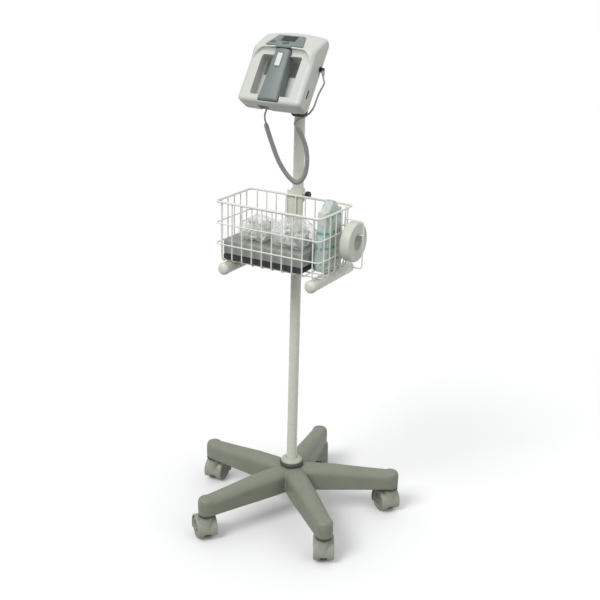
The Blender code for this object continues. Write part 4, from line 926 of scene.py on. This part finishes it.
def crumpled(o, low, high, cap):
    """Blow the film up as cloth with spare width, so that it wrinkles, and keep it in its box."""
    before = [v.co.copy() for v in o.data.vertices]
    m = o.modifiers.new("film", "CLOTH")
    m.settings.quality = 6
    m.settings.mass = 0.05
    m.settings.tension_stiffness = 40.0
    m.settings.compression_stiffness = 25.0
    m.settings.bending_stiffness = 0.05
    m.settings.shrink_min = -0.10
    m.settings.use_pressure = True
    m.settings.uniform_pressure_force = 3.0
    m.settings.effector_weights.gravity = 0.0
    m.point_cache.frame_start, m.point_cache.frame_end = 1, 20
    for step in range(1, 21):
        bpy.context.scene.frame_set(step)
    applied(o)
    bpy.context.scene.frame_set(1)
    low, high = low + Vector((0.0004,) * 3), high - Vector((0.0004,) * 3)
    for v, was in zip(o.data.vertices, before):
        move = v.co - was
        if move.length > cap:
            v.co = was + move * (cap / move.length)
        fold = noise.fractal(v.co * 80.0, 0.6, 2.0, 3) * 0.0011
        ridge = abs(noise.noise(v.co * 45.0 + Vector((7, 3, 1)))) * 0.0022
        v.co += v.normal * (fold - ridge)
        v.co = Vector(max(a, min(b, c)) for a, b, c in zip(low, high, v.co))
    return o


def refill_bag(side, seed):
    node = "refill_bag_" + side
    low, high = laid(node)
    film = pillow("film_" + side, low + Vector((0.002, 0.002, 0.0)),
                  high - Vector((0.002, 0.002, 0.002)), 0.80, 4.0)
    crumpled(film, low, high, 0.006)
    piece(film, "stand", "bag", stands_for=(node,), angle=80)
    middle, half = (low + high) / 2, (high - low) / 2
    pick, cups = chance(seed), []
    for k in range(46):
        layer = k % 4
        spot = Vector(((next(pick) * 2 - 1) * (half.x - 0.017),
                       (next(pick) * 2 - 1) * (half.y - 0.020) * (1 - 0.16 * layer),
                       -half.z + 0.009 + 0.0105 * layer))
        turn = Vector((next(pick) - 0.5, next(pick) - 0.5, (next(pick) - 0.5) * 0.5))
        cups.append(lathe("cup", [(0, 0.0090), (0.0028, 0.0084), (0.0044, -0.0050),
                                  (0.0062, -0.0056), (0.0062, -0.0066), (0.0052, -0.0066),
                                  (0.0036, -0.0050), (0.0022, 0.0070), (0, 0.0074)],
                          middle + spot, turn, 14, 0))
    piece(together("refills_" + side, cups), "stand", "white_plastic")


refill_bag("left", 11)
refill_bag("right", 29)


def upright_pack():
    low, high = laid("cover_pack")
    low, high = low + Vector((0.0, 0.0100, 0.0)), high - Vector((0.0, 0.0, 0.0100))
    step = (high.z - low.z - 0.022) / 4
    inside = []
    for k in range(4):
        z = low.z + 0.004 + step * k
        inside.append(block("tray", (low.x + 0.0065, low.y + 0.0065, z),
                            (high.x - 0.0065, high.y - 0.0065, z + step - 0.0030), 0.0015, 2))
    piece(together("cover_trays", inside), "stand", "ring_white")
    film = pillow("pack_film", low + Vector((0.001, 0.001, 0)), high - Vector((0.001, 0.001, 0.0)),
                  0.86, 9.0, 34)
    crumpled(film, low, high, 0.004)
    rows = [low.z + 0.004 + step * (k + 0.5) for k in range(4)]
    ink = printed(LOOKS["pack"], (112, 182, 190), rows, 0.0062, 0.0052, 0.55)
    piece(film, "stand", "pack", ink, ("cover_pack",), 80)


upright_pack()


# ---------------------------------------------------------------- side loop and its ring
def side_loop():
    low, high = laid("side_loop")
    r, radius = 0.0060, 0.0015
    x0, x1 = low.x + radius, high.x - radius
    z0, z1 = low.z + radius, high.z - radius
    y = (low.y + high.y) / 2
    outline = round_rect(x1 - x0, z1 - z0, r, 6, ((x0 + x1) / 2, (z0 + z1) / 2))
    path = [(x, y, z) for x, z in outline]
    peg_z = 0.7850
    parts = [bar("l", path, radius, 16, True),
             bar("p", [(x0, y, peg_z), ((x0 + x1) / 2, y, peg_z), (x1, y, peg_z)], 0.0013, 14)]
    for x in (x0, x1):
        parts.append(lathe("bead", [(0, -0.0030), (0.0018, -0.0022), (0.0026, 0),
                                    (0.0018, 0.0022), (0, 0.0030)], (x, y, peg_z), (0, 0, 1),
                           14, 0))
    piece(together("wire_loop", parts), "stand", "white_powder", WIRE, stands_for=("side_loop",),
          angle=70)
    low, high = laid("refill_ring")
    half, big, hole = (high.x - low.x) / 2, (high.z - low.z) / 2, 0.0190
    at = ((low.x + high.x) / 2, y, (low.z + high.z) / 2)
    profile = [(hole, -half + 0.0012), (hole + 0.0010, -half), (hole + 0.0030, -half + 0.0008)]
    groove = hole + 0.0050
    while groove < big - 0.0060:
        profile += [(groove, -half + 0.0008), (groove + 0.0010, -half + 0.0003)]
        groove += 0.0026
    profile += [(big - 0.0022, -half + 0.0004), (big, -half + 0.0030)]
    profile += [(a, -h) for a, h in profile[::-1]]
    piece(lathe("hung_ring", profile, at, (1, 0, 0), 120, 0.0004), "ring", "ring_white",
          stands_for=("refill_ring",))


side_loop()


# ---------------------------------------------------------------- neck and knobs
def neck():
    hinge = head(0, HINGE_U, HINGE_N)
    low = laid("neck")[0].z
    top = 1.0520
    o = lathe("neck_body", [(0, low), (0.0172, low), (0.0180, low + 0.0010),
                            (0.0180, low + 0.0060), (0.0170, low + 0.0068),
                            (0.0170, low + 0.0078), (0.0180, low + 0.0086),
                            (0.0180, top - 0.0016), (0.0164, top), (0, top)], sides=96, r=0.0008)
    ear = arc(hinge.y, hinge.z, LUG_R, range(-20, 221, 8))
    ear += [(-0.0300, 1.0460), (-0.0120, 1.0440), (-0.0100, 1.0560)]
    for inner, outer in ((-0.0166, -0.0106), (0.0106, 0.0166)):
        weld(o, slab("ear", ear, inner, outer, 0.0008, 3, (1, 2, 0)))
    weld(o, block("bridge", (-0.0166, -0.0300, 1.0400), (0.0166, -0.0060, 1.0560), 0.0022))
    cut(o, rod("bore", (0, 0, 1.0), (0, 0, POLE_HIGH.z + GAP), POLE_R + GAP, 64, 0),
        rod("pin", (-0.03, hinge.y, hinge.z), (0.03, hinge.y, hinge.z), PIN_BORE_R, 32, 0),
        rod("lock", (0, -0.0136, LOCK_Z), (0, -0.03, LOCK_Z), 0.0026, 32, 0))
    fuse(o, 0.0006, 2, 0.5)
    piece(o, "neck", "black_plastic", stands_for=("neck",), angle=50)
    lock = lathe("lock_grip", [(0, 0.0142), (0.0023, 0.0142), (0.0023, 0.0180),
                               (0.0048, 0.0184), (0.0066, 0.0190), (0.0082, 0.0204),
                               (0.0084, 0.0268), (0.0070, 0.0288), (0.0034, 0.0290),
                               (0.0030, 0.0282), (0, 0.0282)], (0, 0, LOCK_Z), (0, -1, 0), 96,
                 0.0005, (7, 0.0013, 0.0060))
    piece(lock, "lock_knob", "black_plastic", stands_for=("lock_knob",))
    tilt = lathe("tilt_grip", [(0, -0.0215), (0.0034, -0.0215), (0.0050, -0.0205),
                               (0.0050, -0.0172), (0.0030, -0.0170), (0.0030, 0.0170),
                               (0.0072, 0.0173), (0.0090, 0.0188), (0.0092, 0.0266),
                               (0.0078, 0.0288), (0.0036, 0.0290), (0.0032, 0.0280),
                               (0, 0.0280)], hinge, (1, 0, 0), 96, 0.0005, (8, 0.0014, 0.0068))
    piece(tilt, "tilt_knob", "black_plastic", stands_for=("tilt_knob",))


neck()


# ---------------------------------------------------------------- console case
def case_profile(x):
    """Side outline (u, n) of the case at a distance x from its middle: a flat lower face that
    rises to the display's brow, the sloping display face, and a crowned back."""
    c = max(0.0, 1.0 - (x / (HEAD_W / 2)) ** 2)
    f = 0.0030 + 0.0060 * c
    points = [(0.0000, -0.0060), (0.0045, 0.0000), (0.0960, 0.0000), (0.1060, 0.35 * f),
              (0.1160, 0.90 * f), (0.1240, f + 0.0008), (0.1318, f - 0.0018),
              (0.1690 + 0.0050 * c, -0.0245 + 0.0050 * c),
              (0.1765 + 0.0060 * c, -0.0330 + 0.0040 * c), (0.1765 + 0.0060 * c, -0.0410),
              (0.1710 + 0.0040 * c, -0.0485), (0.1600, -0.0510 - 0.0015 * c),
              (0.0110, -0.0495 - 0.0030 * c), (0.0000, -0.0430 - 0.0030 * c)]
    return rounded(points, 0.0045, 3)


def inset(points, e, low, high):
    """An outline drawn in by e towards the nearest point of the line from low to high."""
    a, b = Vector(low), Vector(high)
    out = []
    for p in points:
        p = Vector(p)
        along = (b - a).dot(p - a) / (b - a).length_squared
        d = a.lerp(b, min(1.0, max(0.0, along))) - p
        out.append(tuple(p + d * min(0.85, e / d.length)))
    return out


def case_solid(name, shell=0.0):
    """The case's outer form in the console's axes, or its hollow, shell inside it."""
    half, round_end, rings = HEAD_W / 2, 0.0105, []
    turns = [math.pi / 2 * k / 7 for k in range(8)]
    stations = [(half - round_end + round_end * math.sin(w),
                 round_end * 0.85 * (1 - math.cos(w))) for w in turns]
    stations = [(half * k / 9, 0.0) for k in range(8)] + stations
    for x, e in [(-x, e) for x, e in stations[:0:-1]] + stations:
        flat = inset(case_profile(x), e + shell, (0.0300, -0.0240), (0.1500, -0.0300))
        if shell:
            flat = [(max(u, 0.0165), n) for u, n in flat]
        rings.append([Vector((x * (1.0 - shell / half), u, n)) for u, n in flat])
    return loft(name, rings)


def brow_cut():
    """What is taken off below the display's lip: the lower face, and a cove under the lip that
    droops and fades out at both ends."""
    lip, profile = 0.1276, rounded([(0.1276, 0.0300), (0.1276, 0.0060), (0.1258, 0.0002),
                                    (0.1220, -0.0034), (0.1172, -0.0042), (0.1125, -0.0030),
                                    (0.1080, -0.0008), (0.1040, 0.0)], 0.0016, 2, False)
    rings = []
    for k in range(41):
        x = 0.0705 * (k / 20 - 1)
        t = max(0.0, (abs(x) - 0.0480) / 0.0225)
        ring = []
        for u, n in profile:
            u = lip + (u - lip) * (1 - 0.55 * t) - 0.0240 * t ** 2
            ring.append(Vector((x, u, n * (1 - 0.9 * t) if n < 0 else n)))
        rings.append(ring + [Vector((x, -0.02, 0.0)), Vector((x, -0.02, 0.0300))])
    return loft("brow", rings)


def tray(name, half_x, low_u, high_u, floor_n, top_n, r=0.0050):
    """A recess with rounded corners and a rounded floor edge, as a tool or, grown, its wall."""
    outline = round_rect(2 * half_x, high_u - low_u, r, 6, (0.0, (low_u + high_u) / 2))
    return slab(name, outline, floor_n, top_n, 0.0028, 4)


def console_front():
    o = case_solid("front")
    cut(o, block("c", (-0.3, -0.3, -0.3), (0.3, 0.3, PART_N), 0))
    cut(o, case_solid("h", WALL))
    weld(o, block("backing", (-0.0715, 0.1010, -0.0068), (0.0715, 0.1300, 0.0020), 0))
    cut(o, brow_cut())
    shelf = tray("t", CRADLE_X + WALL, CRADLE_U[0] - WALL, CRADLE_U[1] + WALL, FLOOR_N - WALL,
                 -0.0008)
    weld(shelf, tray("t", DEEP_X + WALL, DEEP_U - WALL, CRADLE_U[1] + WALL, DEEP_N - WALL,
                     FLOOR_N))
    weld(o, shelf)
    cut(o, tray("r", CRADLE_X, CRADLE_U[0], CRADLE_U[1], FLOOR_N, 0.020),
        tray("r", DEEP_X, DEEP_U, CRADLE_U[1], DEEP_N, FLOOR_N + 0.004, 0.0040))
    cut(o, block("n", (-0.0190, CRADLE_U[1] - 0.004, -0.0215), (0.0190, 0.1325, 0.03), 0.0015),
        block("n", (-0.0262, 0.0042, -0.0206), (0.0262, CRADLE_U[0] + 0.004, 0.03), 0.0010),
        block("s", (-0.0340, -0.01, -0.075), (-0.0100, 0.0125, -0.0190), 0.0010),
        block("p", (0.0768, 0.0280, -0.0250), (0.0900, 0.0480, -0.0190), 0.0012))
    seat = slab("p", trapezoid(GAP), -0.0030, 0.03, 0.0)
    well = slab("w", [(-0.0200, 0.0030), (0.0200, 0.0030), (0.0200, 0.0378),
                      (-0.0200, 0.0378)], -0.03, 0.03, 0.0)
    for tool in (seat, well):
        tool.data.transform(HEAD.inverted() @ FACE)
        cut(o, tool)
    fuse(o, 0.00085, 3, 0.30)
    piece(o, "head", "case", stands_for=("front_case",), angle=60, place=HEAD)


def trapezoid(grow=0.0, tab=0.0):
    points = [(0.0470 + grow, -grow), (0.0335 + grow, 0.0400 + grow),
              (-0.0335 - grow, 0.0400 + grow), (-0.0470 - grow, -grow)]
    if tab:
        points += [(-0.0187, 0.0), (-0.0187, -tab), (0.0187, -tab), (0.0187, 0.0)]
    return rounded(points, 0.0024, 5)


def console_rear():
    o = case_solid("rear")
    cut(o, block("c", (-0.3, -0.3, PART_N - GAP), (0.3, 0.3, 0.3), 0))
    cut(o, case_solid("h", WALL))
    cut(o, block("s", (-0.0340, -0.01, -0.0475), (-0.0100, 0.0125, 0.0), 0.0010),
        rod("j", (0.060, JACK_U, JACK_N), (0.090, JACK_U, JACK_N), 0.0052, 40, 0),
        block("b", (-0.0560, 0.0990, -0.0600), (0.0560, 0.1460, -0.0470), 0.0020))
    for x, u in CASE_SCREWS:
        cut(o, rod("sink", (x, u, -0.0480), (x, u, -0.0600), 0.0036, 32, 0))
    for k in range(7):
        x = -0.0360 + 0.0120 * k
        cut(o, block("v", (x - 0.0018, 0.1525, -0.0600), (x + 0.0018, 0.1665, -0.0470), 0.0010))
    fuse(o, 0.00085, 3, 0.30)
    piece(o, "head", "case", stands_for=("rear_case",), angle=60, place=HEAD)
    door = block("hatch", (-0.0560 + GAP, 0.0990 + GAP, -0.0525), (0.0560 - GAP, 0.1460 - GAP,
                                                                   -0.0500), 0.0011)
    cut(door, block("grip", (-0.0130, 0.1030, -0.0600), (0.0130, 0.1075, -0.0517), 0.0005, 1))
    for k in range(5):
        weld(door, block("rib", (-0.0110, 0.1120 + 0.0026 * k, -0.0528),
                         (0.0110, 0.1131 + 0.0026 * k, -0.0518), 0.0003, 1))
    piece(door, "head", "case", stands_for=("battery_door",), place=HEAD)
    screws = []
    for x, u in CASE_SCREWS:
        screw = lathe("s", [(0, -0.0004), (0.0031, -0.0004), (0.0031, 0.0008),
                            (0.0022, 0.0015), (0, 0.0018)], (x, u, -0.0488), (0, 0, -1), 32,
                      0.0002)
        for turn in (0, 90):
            slot = block("x", (-0.0018, -0.0003, -0.0010), (0.0018, 0.0003, 0.0010), 0)
            slot.data.transform(Matrix.Translation((x, u, -0.0504))
                                @ Matrix.Rotation(math.radians(turn), 4, "Z"))
            cut(screw, slot)
        screws.append(screw)
    piece(together("case_screws", screws), "head", "steel", place=HEAD)
    pack = []
    cell_n, cell_r = -0.0415, 0.0068
    for x in (-0.0250, 0.0250):
        pack.append(rod("cell", (x - 0.0245, 0.1260, cell_n), (x + 0.0235, 0.1260, cell_n),
                        cell_r, 40, 0.0008))
        pack.append(rod("tip", (x + 0.0230, 0.1260, cell_n), (x + 0.0248, 0.1260, cell_n),
                        0.0026, 24))
        pack.append(rod("cell", (x - 0.0235, 0.1400, cell_n), (x + 0.0245, 0.1400, cell_n),
                        cell_r, 40, 0.0008))
    piece(together("cells", pack), "head", "battery", stands_for=("battery_pack",), place=HEAD)
    cover = block("port_flap", (0.0771, 0.0283, -0.0247), (0.0788, 0.0477, -0.0193), 0.0007)
    piece(cover, "head", "dark_plastic", stands_for=("port_cover",), place=HEAD)
    socket = lathe("socket", [(0.0022, 0.0), (0.0045, 0.0), (0.0045, 0.0114), (0.0064, 0.0118),
                              (0.0064, 0.0131), (0.0022, 0.0131)],
                   (0.0680, JACK_U, JACK_N), (1, 0, 0), 64, 0.0004)
    piece(socket, "head", "black_plastic", stands_for=("jack",), place=HEAD)


def tilt_bracket():
    plate = block("plate", (-0.0230, 0.0280, -0.0570), (0.0230, 0.0880, -0.0533), 0.0010)
    lug = arc(HINGE_U, HINGE_N, LUG_R, range(190, 341, 6))
    lug += [(0.0800, -0.0560), (0.0380, -0.0560)]
    weld(plate, slab("lug", lug, -0.0100, 0.0100, 0.0008, 3, (1, 2, 0)))
    for side in (-1, 1):
        weld(plate, block("web", (side * 0.0165 - 0.0012, 0.0380, -0.0640),
                          (side * 0.0165 + 0.0012, 0.0780, -0.0560), 0.0008))
    cut(plate, rod("b", (-0.05, HINGE_U, HINGE_N), (0.05, HINGE_U, HINGE_N), PIN_BORE_R, 32, 0))
    for x in (-0.0180, 0.0180):
        for u in (0.0330, 0.0830):
            cut(plate, rod("s", (x, u, -0.0562), (x, u, -0.0600), 0.0028, 28, 0))
    piece(plate, "head", "black_plastic", stands_for=("tilt_bracket",), angle=35, place=HEAD)


console_front()
console_rear()
tilt_bracket()


# ---------------------------------------------------------------- display face
def segments(text, wide, high, gap):
    """Seven-segment figures as thin bars: outlines in (x, s), from the left."""
    shapes = {"3": "abgcd", "7": "abc", "0": "abcdef"}
    t, out, x = high * 0.11, [], 0.0
    for sign in text:
        if sign == ".":
            out.append(((x - gap * 0.62, 0.0), (x - gap * 0.62 + t, t)))
            continue
        bars = {"a": ((x + t, high - t), (x + wide - t, high)),
                "g": ((x + t, (high - t) / 2), (x + wide - t, (high + t) / 2)),
                "d": ((x + t, 0.0), (x + wide - t, t)),
                "f": ((x, high / 2 + t / 2), (x + t, high - t / 2)),
                "b": ((x + wide - t, high / 2 + t / 2), (x + wide, high - t / 2)),
                "e": ((x, t / 2), (x + t, high / 2 - t / 2)),
                "c": ((x + wide - t, t / 2), (x + wide, high / 2 - t / 2))}
        out += [bars[b] for b in shapes[sign]]
        x += wide + gap
    return out, x - gap


def display_face():
    panel = slab("panel", trapezoid(0.0, 0.0056), -0.0027, 0.0006, 0.0004)
    window = round_rect(0.0364, 0.0204, 0.0016, 5, (0.0, 0.0268))
    cut(panel, slab("w", window, -0.02, 0.02, 0.0))
    cut(panel, slab("ridge", rounded([(-0.0202, 0.0156), (0.0202, 0.0156), (0.0202, 0.0380),
                                      (-0.0202, 0.0380)], 0.003), 0.0002, 0.02, 0.0))
    for x, s, w in ((-0.0330, 0.0110, 0.0055), (0.0, 0.0095, 0.0075)):
        cut(panel, slab("k", round_rect(2 * w + 2 * GAP, 0.0090 + 2 * GAP, 0.0034, 6, (x, s)),
                        -0.02, 0.02, 0.0))
    piece(panel, "head", "trim", stands_for=("display_panel",), angle=35, place=FACE)
    lens = slab("lcd_lens", round_rect(0.0356, 0.0196, 0.0013, 5, (0.0, 0.0268)), -0.0018,
                -0.0002, 0.0003)
    piece(lens, "head", "lens", stands_for=("lcd_window",), place=FACE)
    module = block("lcd_glass", (-0.0185, 0.0150, -0.0085), (0.0185, 0.0375, -0.0035), 0.0006)
    piece(module, "head", "lcd", stands_for=("lcd_module",), place=FACE)
    bars, wide = segments("37.0", 0.0058, 0.0092, 0.0022)
    shown = []
    for (x0, s0), (x1, s1) in bars:
        shown.append(block("bar", (x0 - wide / 2 - 0.0015, s0 + 0.0218, -0.0034),
                           (x1 - wide / 2 - 0.0015, s1 + 0.0218, -0.00325), 0))
    shown.append(block("unit", (0.0120, 0.0290, -0.0034), (0.0142, 0.0310, -0.00325), 0.0004, 1))
    piece(together("lcd_figures", shown), "head", "lcd", SEGMENT, place=FACE)
    board = slab("circuit", rounded([(-0.0550, 0.0020), (0.0550, 0.0020), (0.0450, 0.0330),
                                     (-0.0450, 0.0330)], 0.002), -0.0155, -0.0139, 0.0002)
    piece(board, "head", "board", stands_for=("main_board",), place=FACE)
    chips = [block("chip", (x, s, -0.0139), (x + w, s + h, -0.0125), 0.0002, 1)
             for x, s, w, h in ((-0.040, 0.008, 0.010, 0.010), (-0.024, 0.020, 0.006, 0.004),
                                (0.026, 0.010, 0.012, 0.008), (0.030, 0.022, 0.005, 0.005))]
    piece(together("chips", chips), "head", "black_plastic", place=FACE)
    key = slab("power_cap", round_rect(0.0110, 0.0090, 0.0031, 6, (-0.0330, 0.0110)), -0.0024,
               0.0016, 0.0006)
    piece(key, "power_key", "key", stands_for=("power_key",), place=FACE)
    sign = slab("power_sign", rounded([(-0.0352, 0.0092), (-0.0308, 0.0092),
                                       (-0.0330, 0.0130)], 0.0006), 0.00155, 0.00185, 0.0001, 1)
    piece(sign, "power_key", "key", PRINT, place=FACE)
    crescent = [(0.0075 * math.cos(math.radians(a)), 0.0107 + 0.0033 * math.sin(math.radians(a)))
                for a in range(0, 181, 12)]
    crescent += [(0.0075 * math.cos(math.radians(a)), 0.0083 + 0.0033 * math.sin(math.radians(a)))
                 for a in range(180, 361, 12)]
    key = slab("select_cap", crescent, -0.0024, 0.0016, 0.0006)
    piece(key, "select_key", "key", stands_for=("select_key",), place=FACE)
    lamp = lathe("ready_lamp", [(0, -0.0010), (0.0014, -0.0010), (0.0014, 0.0008), (0, 0.0013)],
                 (0.0330, 0.0110, 0), (0, 0, 1), 24, 0.0004)
    piece(lamp, "head", "key", LOOKS["lens"], place=FACE)


display_face()


# ---------------------------------------------------------------- handset
def handset_half(u):
    """Half the handset's width at a height u."""
    k = (u - HANDSET_U[0]) / (HANDSET_U[1] - HANDSET_U[0])
    return (HANDSET_W[0] + (HANDSET_W[1] - HANDSET_W[0]) * k) / 2


def handset_outline(low, high, inset_by):
    """A tapered outline inside the handset, as wide as it is at low and at high."""
    a, b = handset_half(low) - inset_by, handset_half(high) - inset_by
    return [(-a, low), (a, low), (b, high), (-b, high)]


def handset_shell(name, face_n, split_n, r, crown):
    """Half a handset: rings along u, with rounded long edges, drawn in at both ends."""
    low, high = HANDSET_U[0] + 0.0038, HANDSET_U[1]
    sign, rings = (1 if face_n > split_n else -1), []
    ends = [(1 - math.cos(math.pi / 2 * k / 5)) for k in range(6)]
    stations = [(low + 0.0050 * e, 0.0042 * (1 - math.sqrt(1 - (1 - e) ** 2))) for e in ends]
    stations += [(low + 0.0060, 0.0), (low + 0.0075, 0.0), (low + 0.0090, 0.0)]
    stations += [(low + (high - low) * k / 10, 0.0) for k in range(1, 10)]
    stations += [(high - 0.0034 * e, 0.0026 * (1 - math.sqrt(1 - (1 - e) ** 2)))
                 for e in ends[::-1]]
    for u, e in stations:
        w = handset_half(u) - 0.6 * e
        lift = face_n + 0.0020 * (u / high if sign > 0 else 0.0) - sign * e
        half = [(w, split_n), (w, lift - sign * r)]
        half += [(w - r + r * math.cos(math.pi / 2 * k / 6),
                  lift - sign * r * (1 - math.sin(math.pi / 2 * k / 6))) for k in range(1, 7)]
        half += [((w - r) * (1 - k / 5), lift + sign * crown * (1 - (1 - k / 5) ** 2))
                 for k in range(1, 6)]
        if sign > 0:
            half = [(x, min(n, 1.6 * (u - low) + 0.0022)) for x, n in half]
        rings.append([Vector((x, u, n)) for x, n in half]
                     + [Vector((-x, u, n)) for x, n in half[-2::-1]])
    return loft(name, rings)


def handset():
    top = handset_shell("top", 0.0050, HANDSET_SPLIT, 0.0050, 0.0015)
    cut(top, slab("hollow", handset_outline(0.0070, 0.1200, WALL), -0.0080, 0.0020, 0.0),
        block("slot", (-0.0066, 0.0830 - GAP, -0.01), (0.0066, 0.1140 + GAP, 0.03), 0.0012),
        slab("dish", round_rect(0.0172, 0.0350, 0.0050, 6, (0.0, 0.0985)), 0.0074, 0.03, 0.0))
    for k in range(6):
        u = 0.0300 + 0.0042 * k
        for side in (-1, 1):
            cut(top, block("g", (side * handset_half(u) - 0.0005, u, -0.0030),
                           (side * handset_half(u) + 0.0005, u + 0.0018, 0.0020), 0))
    fuse(top, 0.0006, 2, 0.35)
    piece(top, "handset", "trim", stands_for=("handset_top",), angle=60, place=HEAD)
    back = handset_shell("back", HANDSET_BACK, HANDSET_SPLIT - GAP, 0.0055, 0.0)
    cut(back, slab("hollow", handset_outline(0.0070, 0.1200, WALL),
                   HANDSET_BACK + 0.0025, 0.0, 0.0),
        rod("nose", (0, 0.0950, -0.05), (0, 0.0950, -0.012), 0.0080, 48, 0))
    fuse(back, 0.0007, 2, 0.35)
    piece(back, "handset", "trim", stands_for=("handset_back",), angle=60, place=HEAD)
    button = slab("measure_cap", round_rect(0.0126, 0.0310, 0.0022, 6, (0.0, 0.0985)), -0.0010,
                  0.0104, 0.0012, 4)
    piece(button, "measure_button", "button", stands_for=("measure_button",), place=HEAD)
    board = slab("handset_circuit", handset_outline(0.0100, 0.1150, 0.0045), -0.0112,
                 -0.0096, 0.0002)
    piece(board, "handset", "board", stands_for=("handset_board",), place=HEAD)
    nose = lathe("probe", [(0, 0.0), (0.0077, 0.0), (0.0077, 0.0080), (0.0070, 0.0092),
                           (0.0064, 0.0098), (0.0062, 0.0112), (0.0066, 0.0118),
                           (0.0062, 0.0136), (0.0042, 0.0250), (0.0034, 0.0264),
                           (0.0020, 0.0268), (0.0018, 0.0262), (0, 0.0262)],
                 (0, 0.0950, -0.0125), (0, 0, -1), 64, 0.0004)
    piece(nose, "handset", "dark_plastic", stands_for=("probe_nose",), place=HEAD)
    relief = lathe("cord_boot", [(0, -GAP), (0.0042, -GAP), (0.0042, -0.0012), (0.0036, -0.0016),
                                 (0.0038, -0.0022), (0.0034, -0.0028), (0.0036, -0.0034),
                                 (0.0031, -0.0040), (0.0033, -0.0046), (0.0029, -0.0060),
                                 (0, -0.0060)],
                   (RELIEF.x, RELIEF.y, HANDSET_BACK), (0, 0, 1), 40, 0.0002)
    piece(relief, "handset", "black_plastic", stands_for=("handset_relief",), place=HEAD)


handset()


# ---------------------------------------------------------------- studio
def studio():
    bpy.context.scene.view_settings.view_transform = "Standard"
    world = bpy.data.worlds.new("studio")
    world.use_nodes = True
    world.node_tree.nodes["Background"].inputs["Color"].default_value = (0.985, 0.99, 1.0, 1.0)
    t = world.node_tree
    split = t.nodes.new("ShaderNodeSeparateXYZ")
    t.links.new(t.nodes.new("ShaderNodeTexCoord").outputs["Generated"], split.inputs["Vector"])
    rise = t.nodes.new("ShaderNodeMapRange")
    rise.inputs["From Min"].default_value, rise.inputs["From Max"].default_value = -0.25, 0.35
    rise.inputs["To Min"].default_value, rise.inputs["To Max"].default_value = 0.26, 0.72
    t.links.new(split.outputs["Z"], rise.inputs["Value"])
    t.links.new(rise.outputs["Result"], t.nodes["Background"].inputs["Strength"])
    bpy.context.scene.world = world
    floor = solid("floor", [(-40, -40, 0), (40, -40, 0), (40, 40, 0), (-40, 40, 0)],
                  [(0, 1, 2, 3)])
    m = bpy.data.materials.new("floor")
    m.use_nodes = True
    shader = m.node_tree.nodes["Principled BSDF"]
    shader.inputs["Base Color"].default_value = (0.94, 0.94, 0.94, 1.0)
    shader.inputs["Roughness"].default_value = 0.75
    floor.data.materials.append(m)
    floor.visible_diffuse = False
    for name, heading, up, spread, power in (("key", 258.0, 46.0, 26.0, 1.55),
                                             ("side", 350.0, 30.0, 45.0, 0.35)):
        data = bpy.data.lights.new(name, "SUN")
        data.angle, data.energy = math.radians(spread), power
        lamp = bpy.data.objects.new(name, data)
        bpy.context.scene.collection.objects.link(lamp)
        a, e = math.radians(heading), math.radians(up)
        towards = Vector((math.cos(a) * math.cos(e), math.sin(a) * math.cos(e), math.sin(e)))
        lamp.rotation_euler = towards.to_track_quat("Z", "Y").to_euler()


studio()
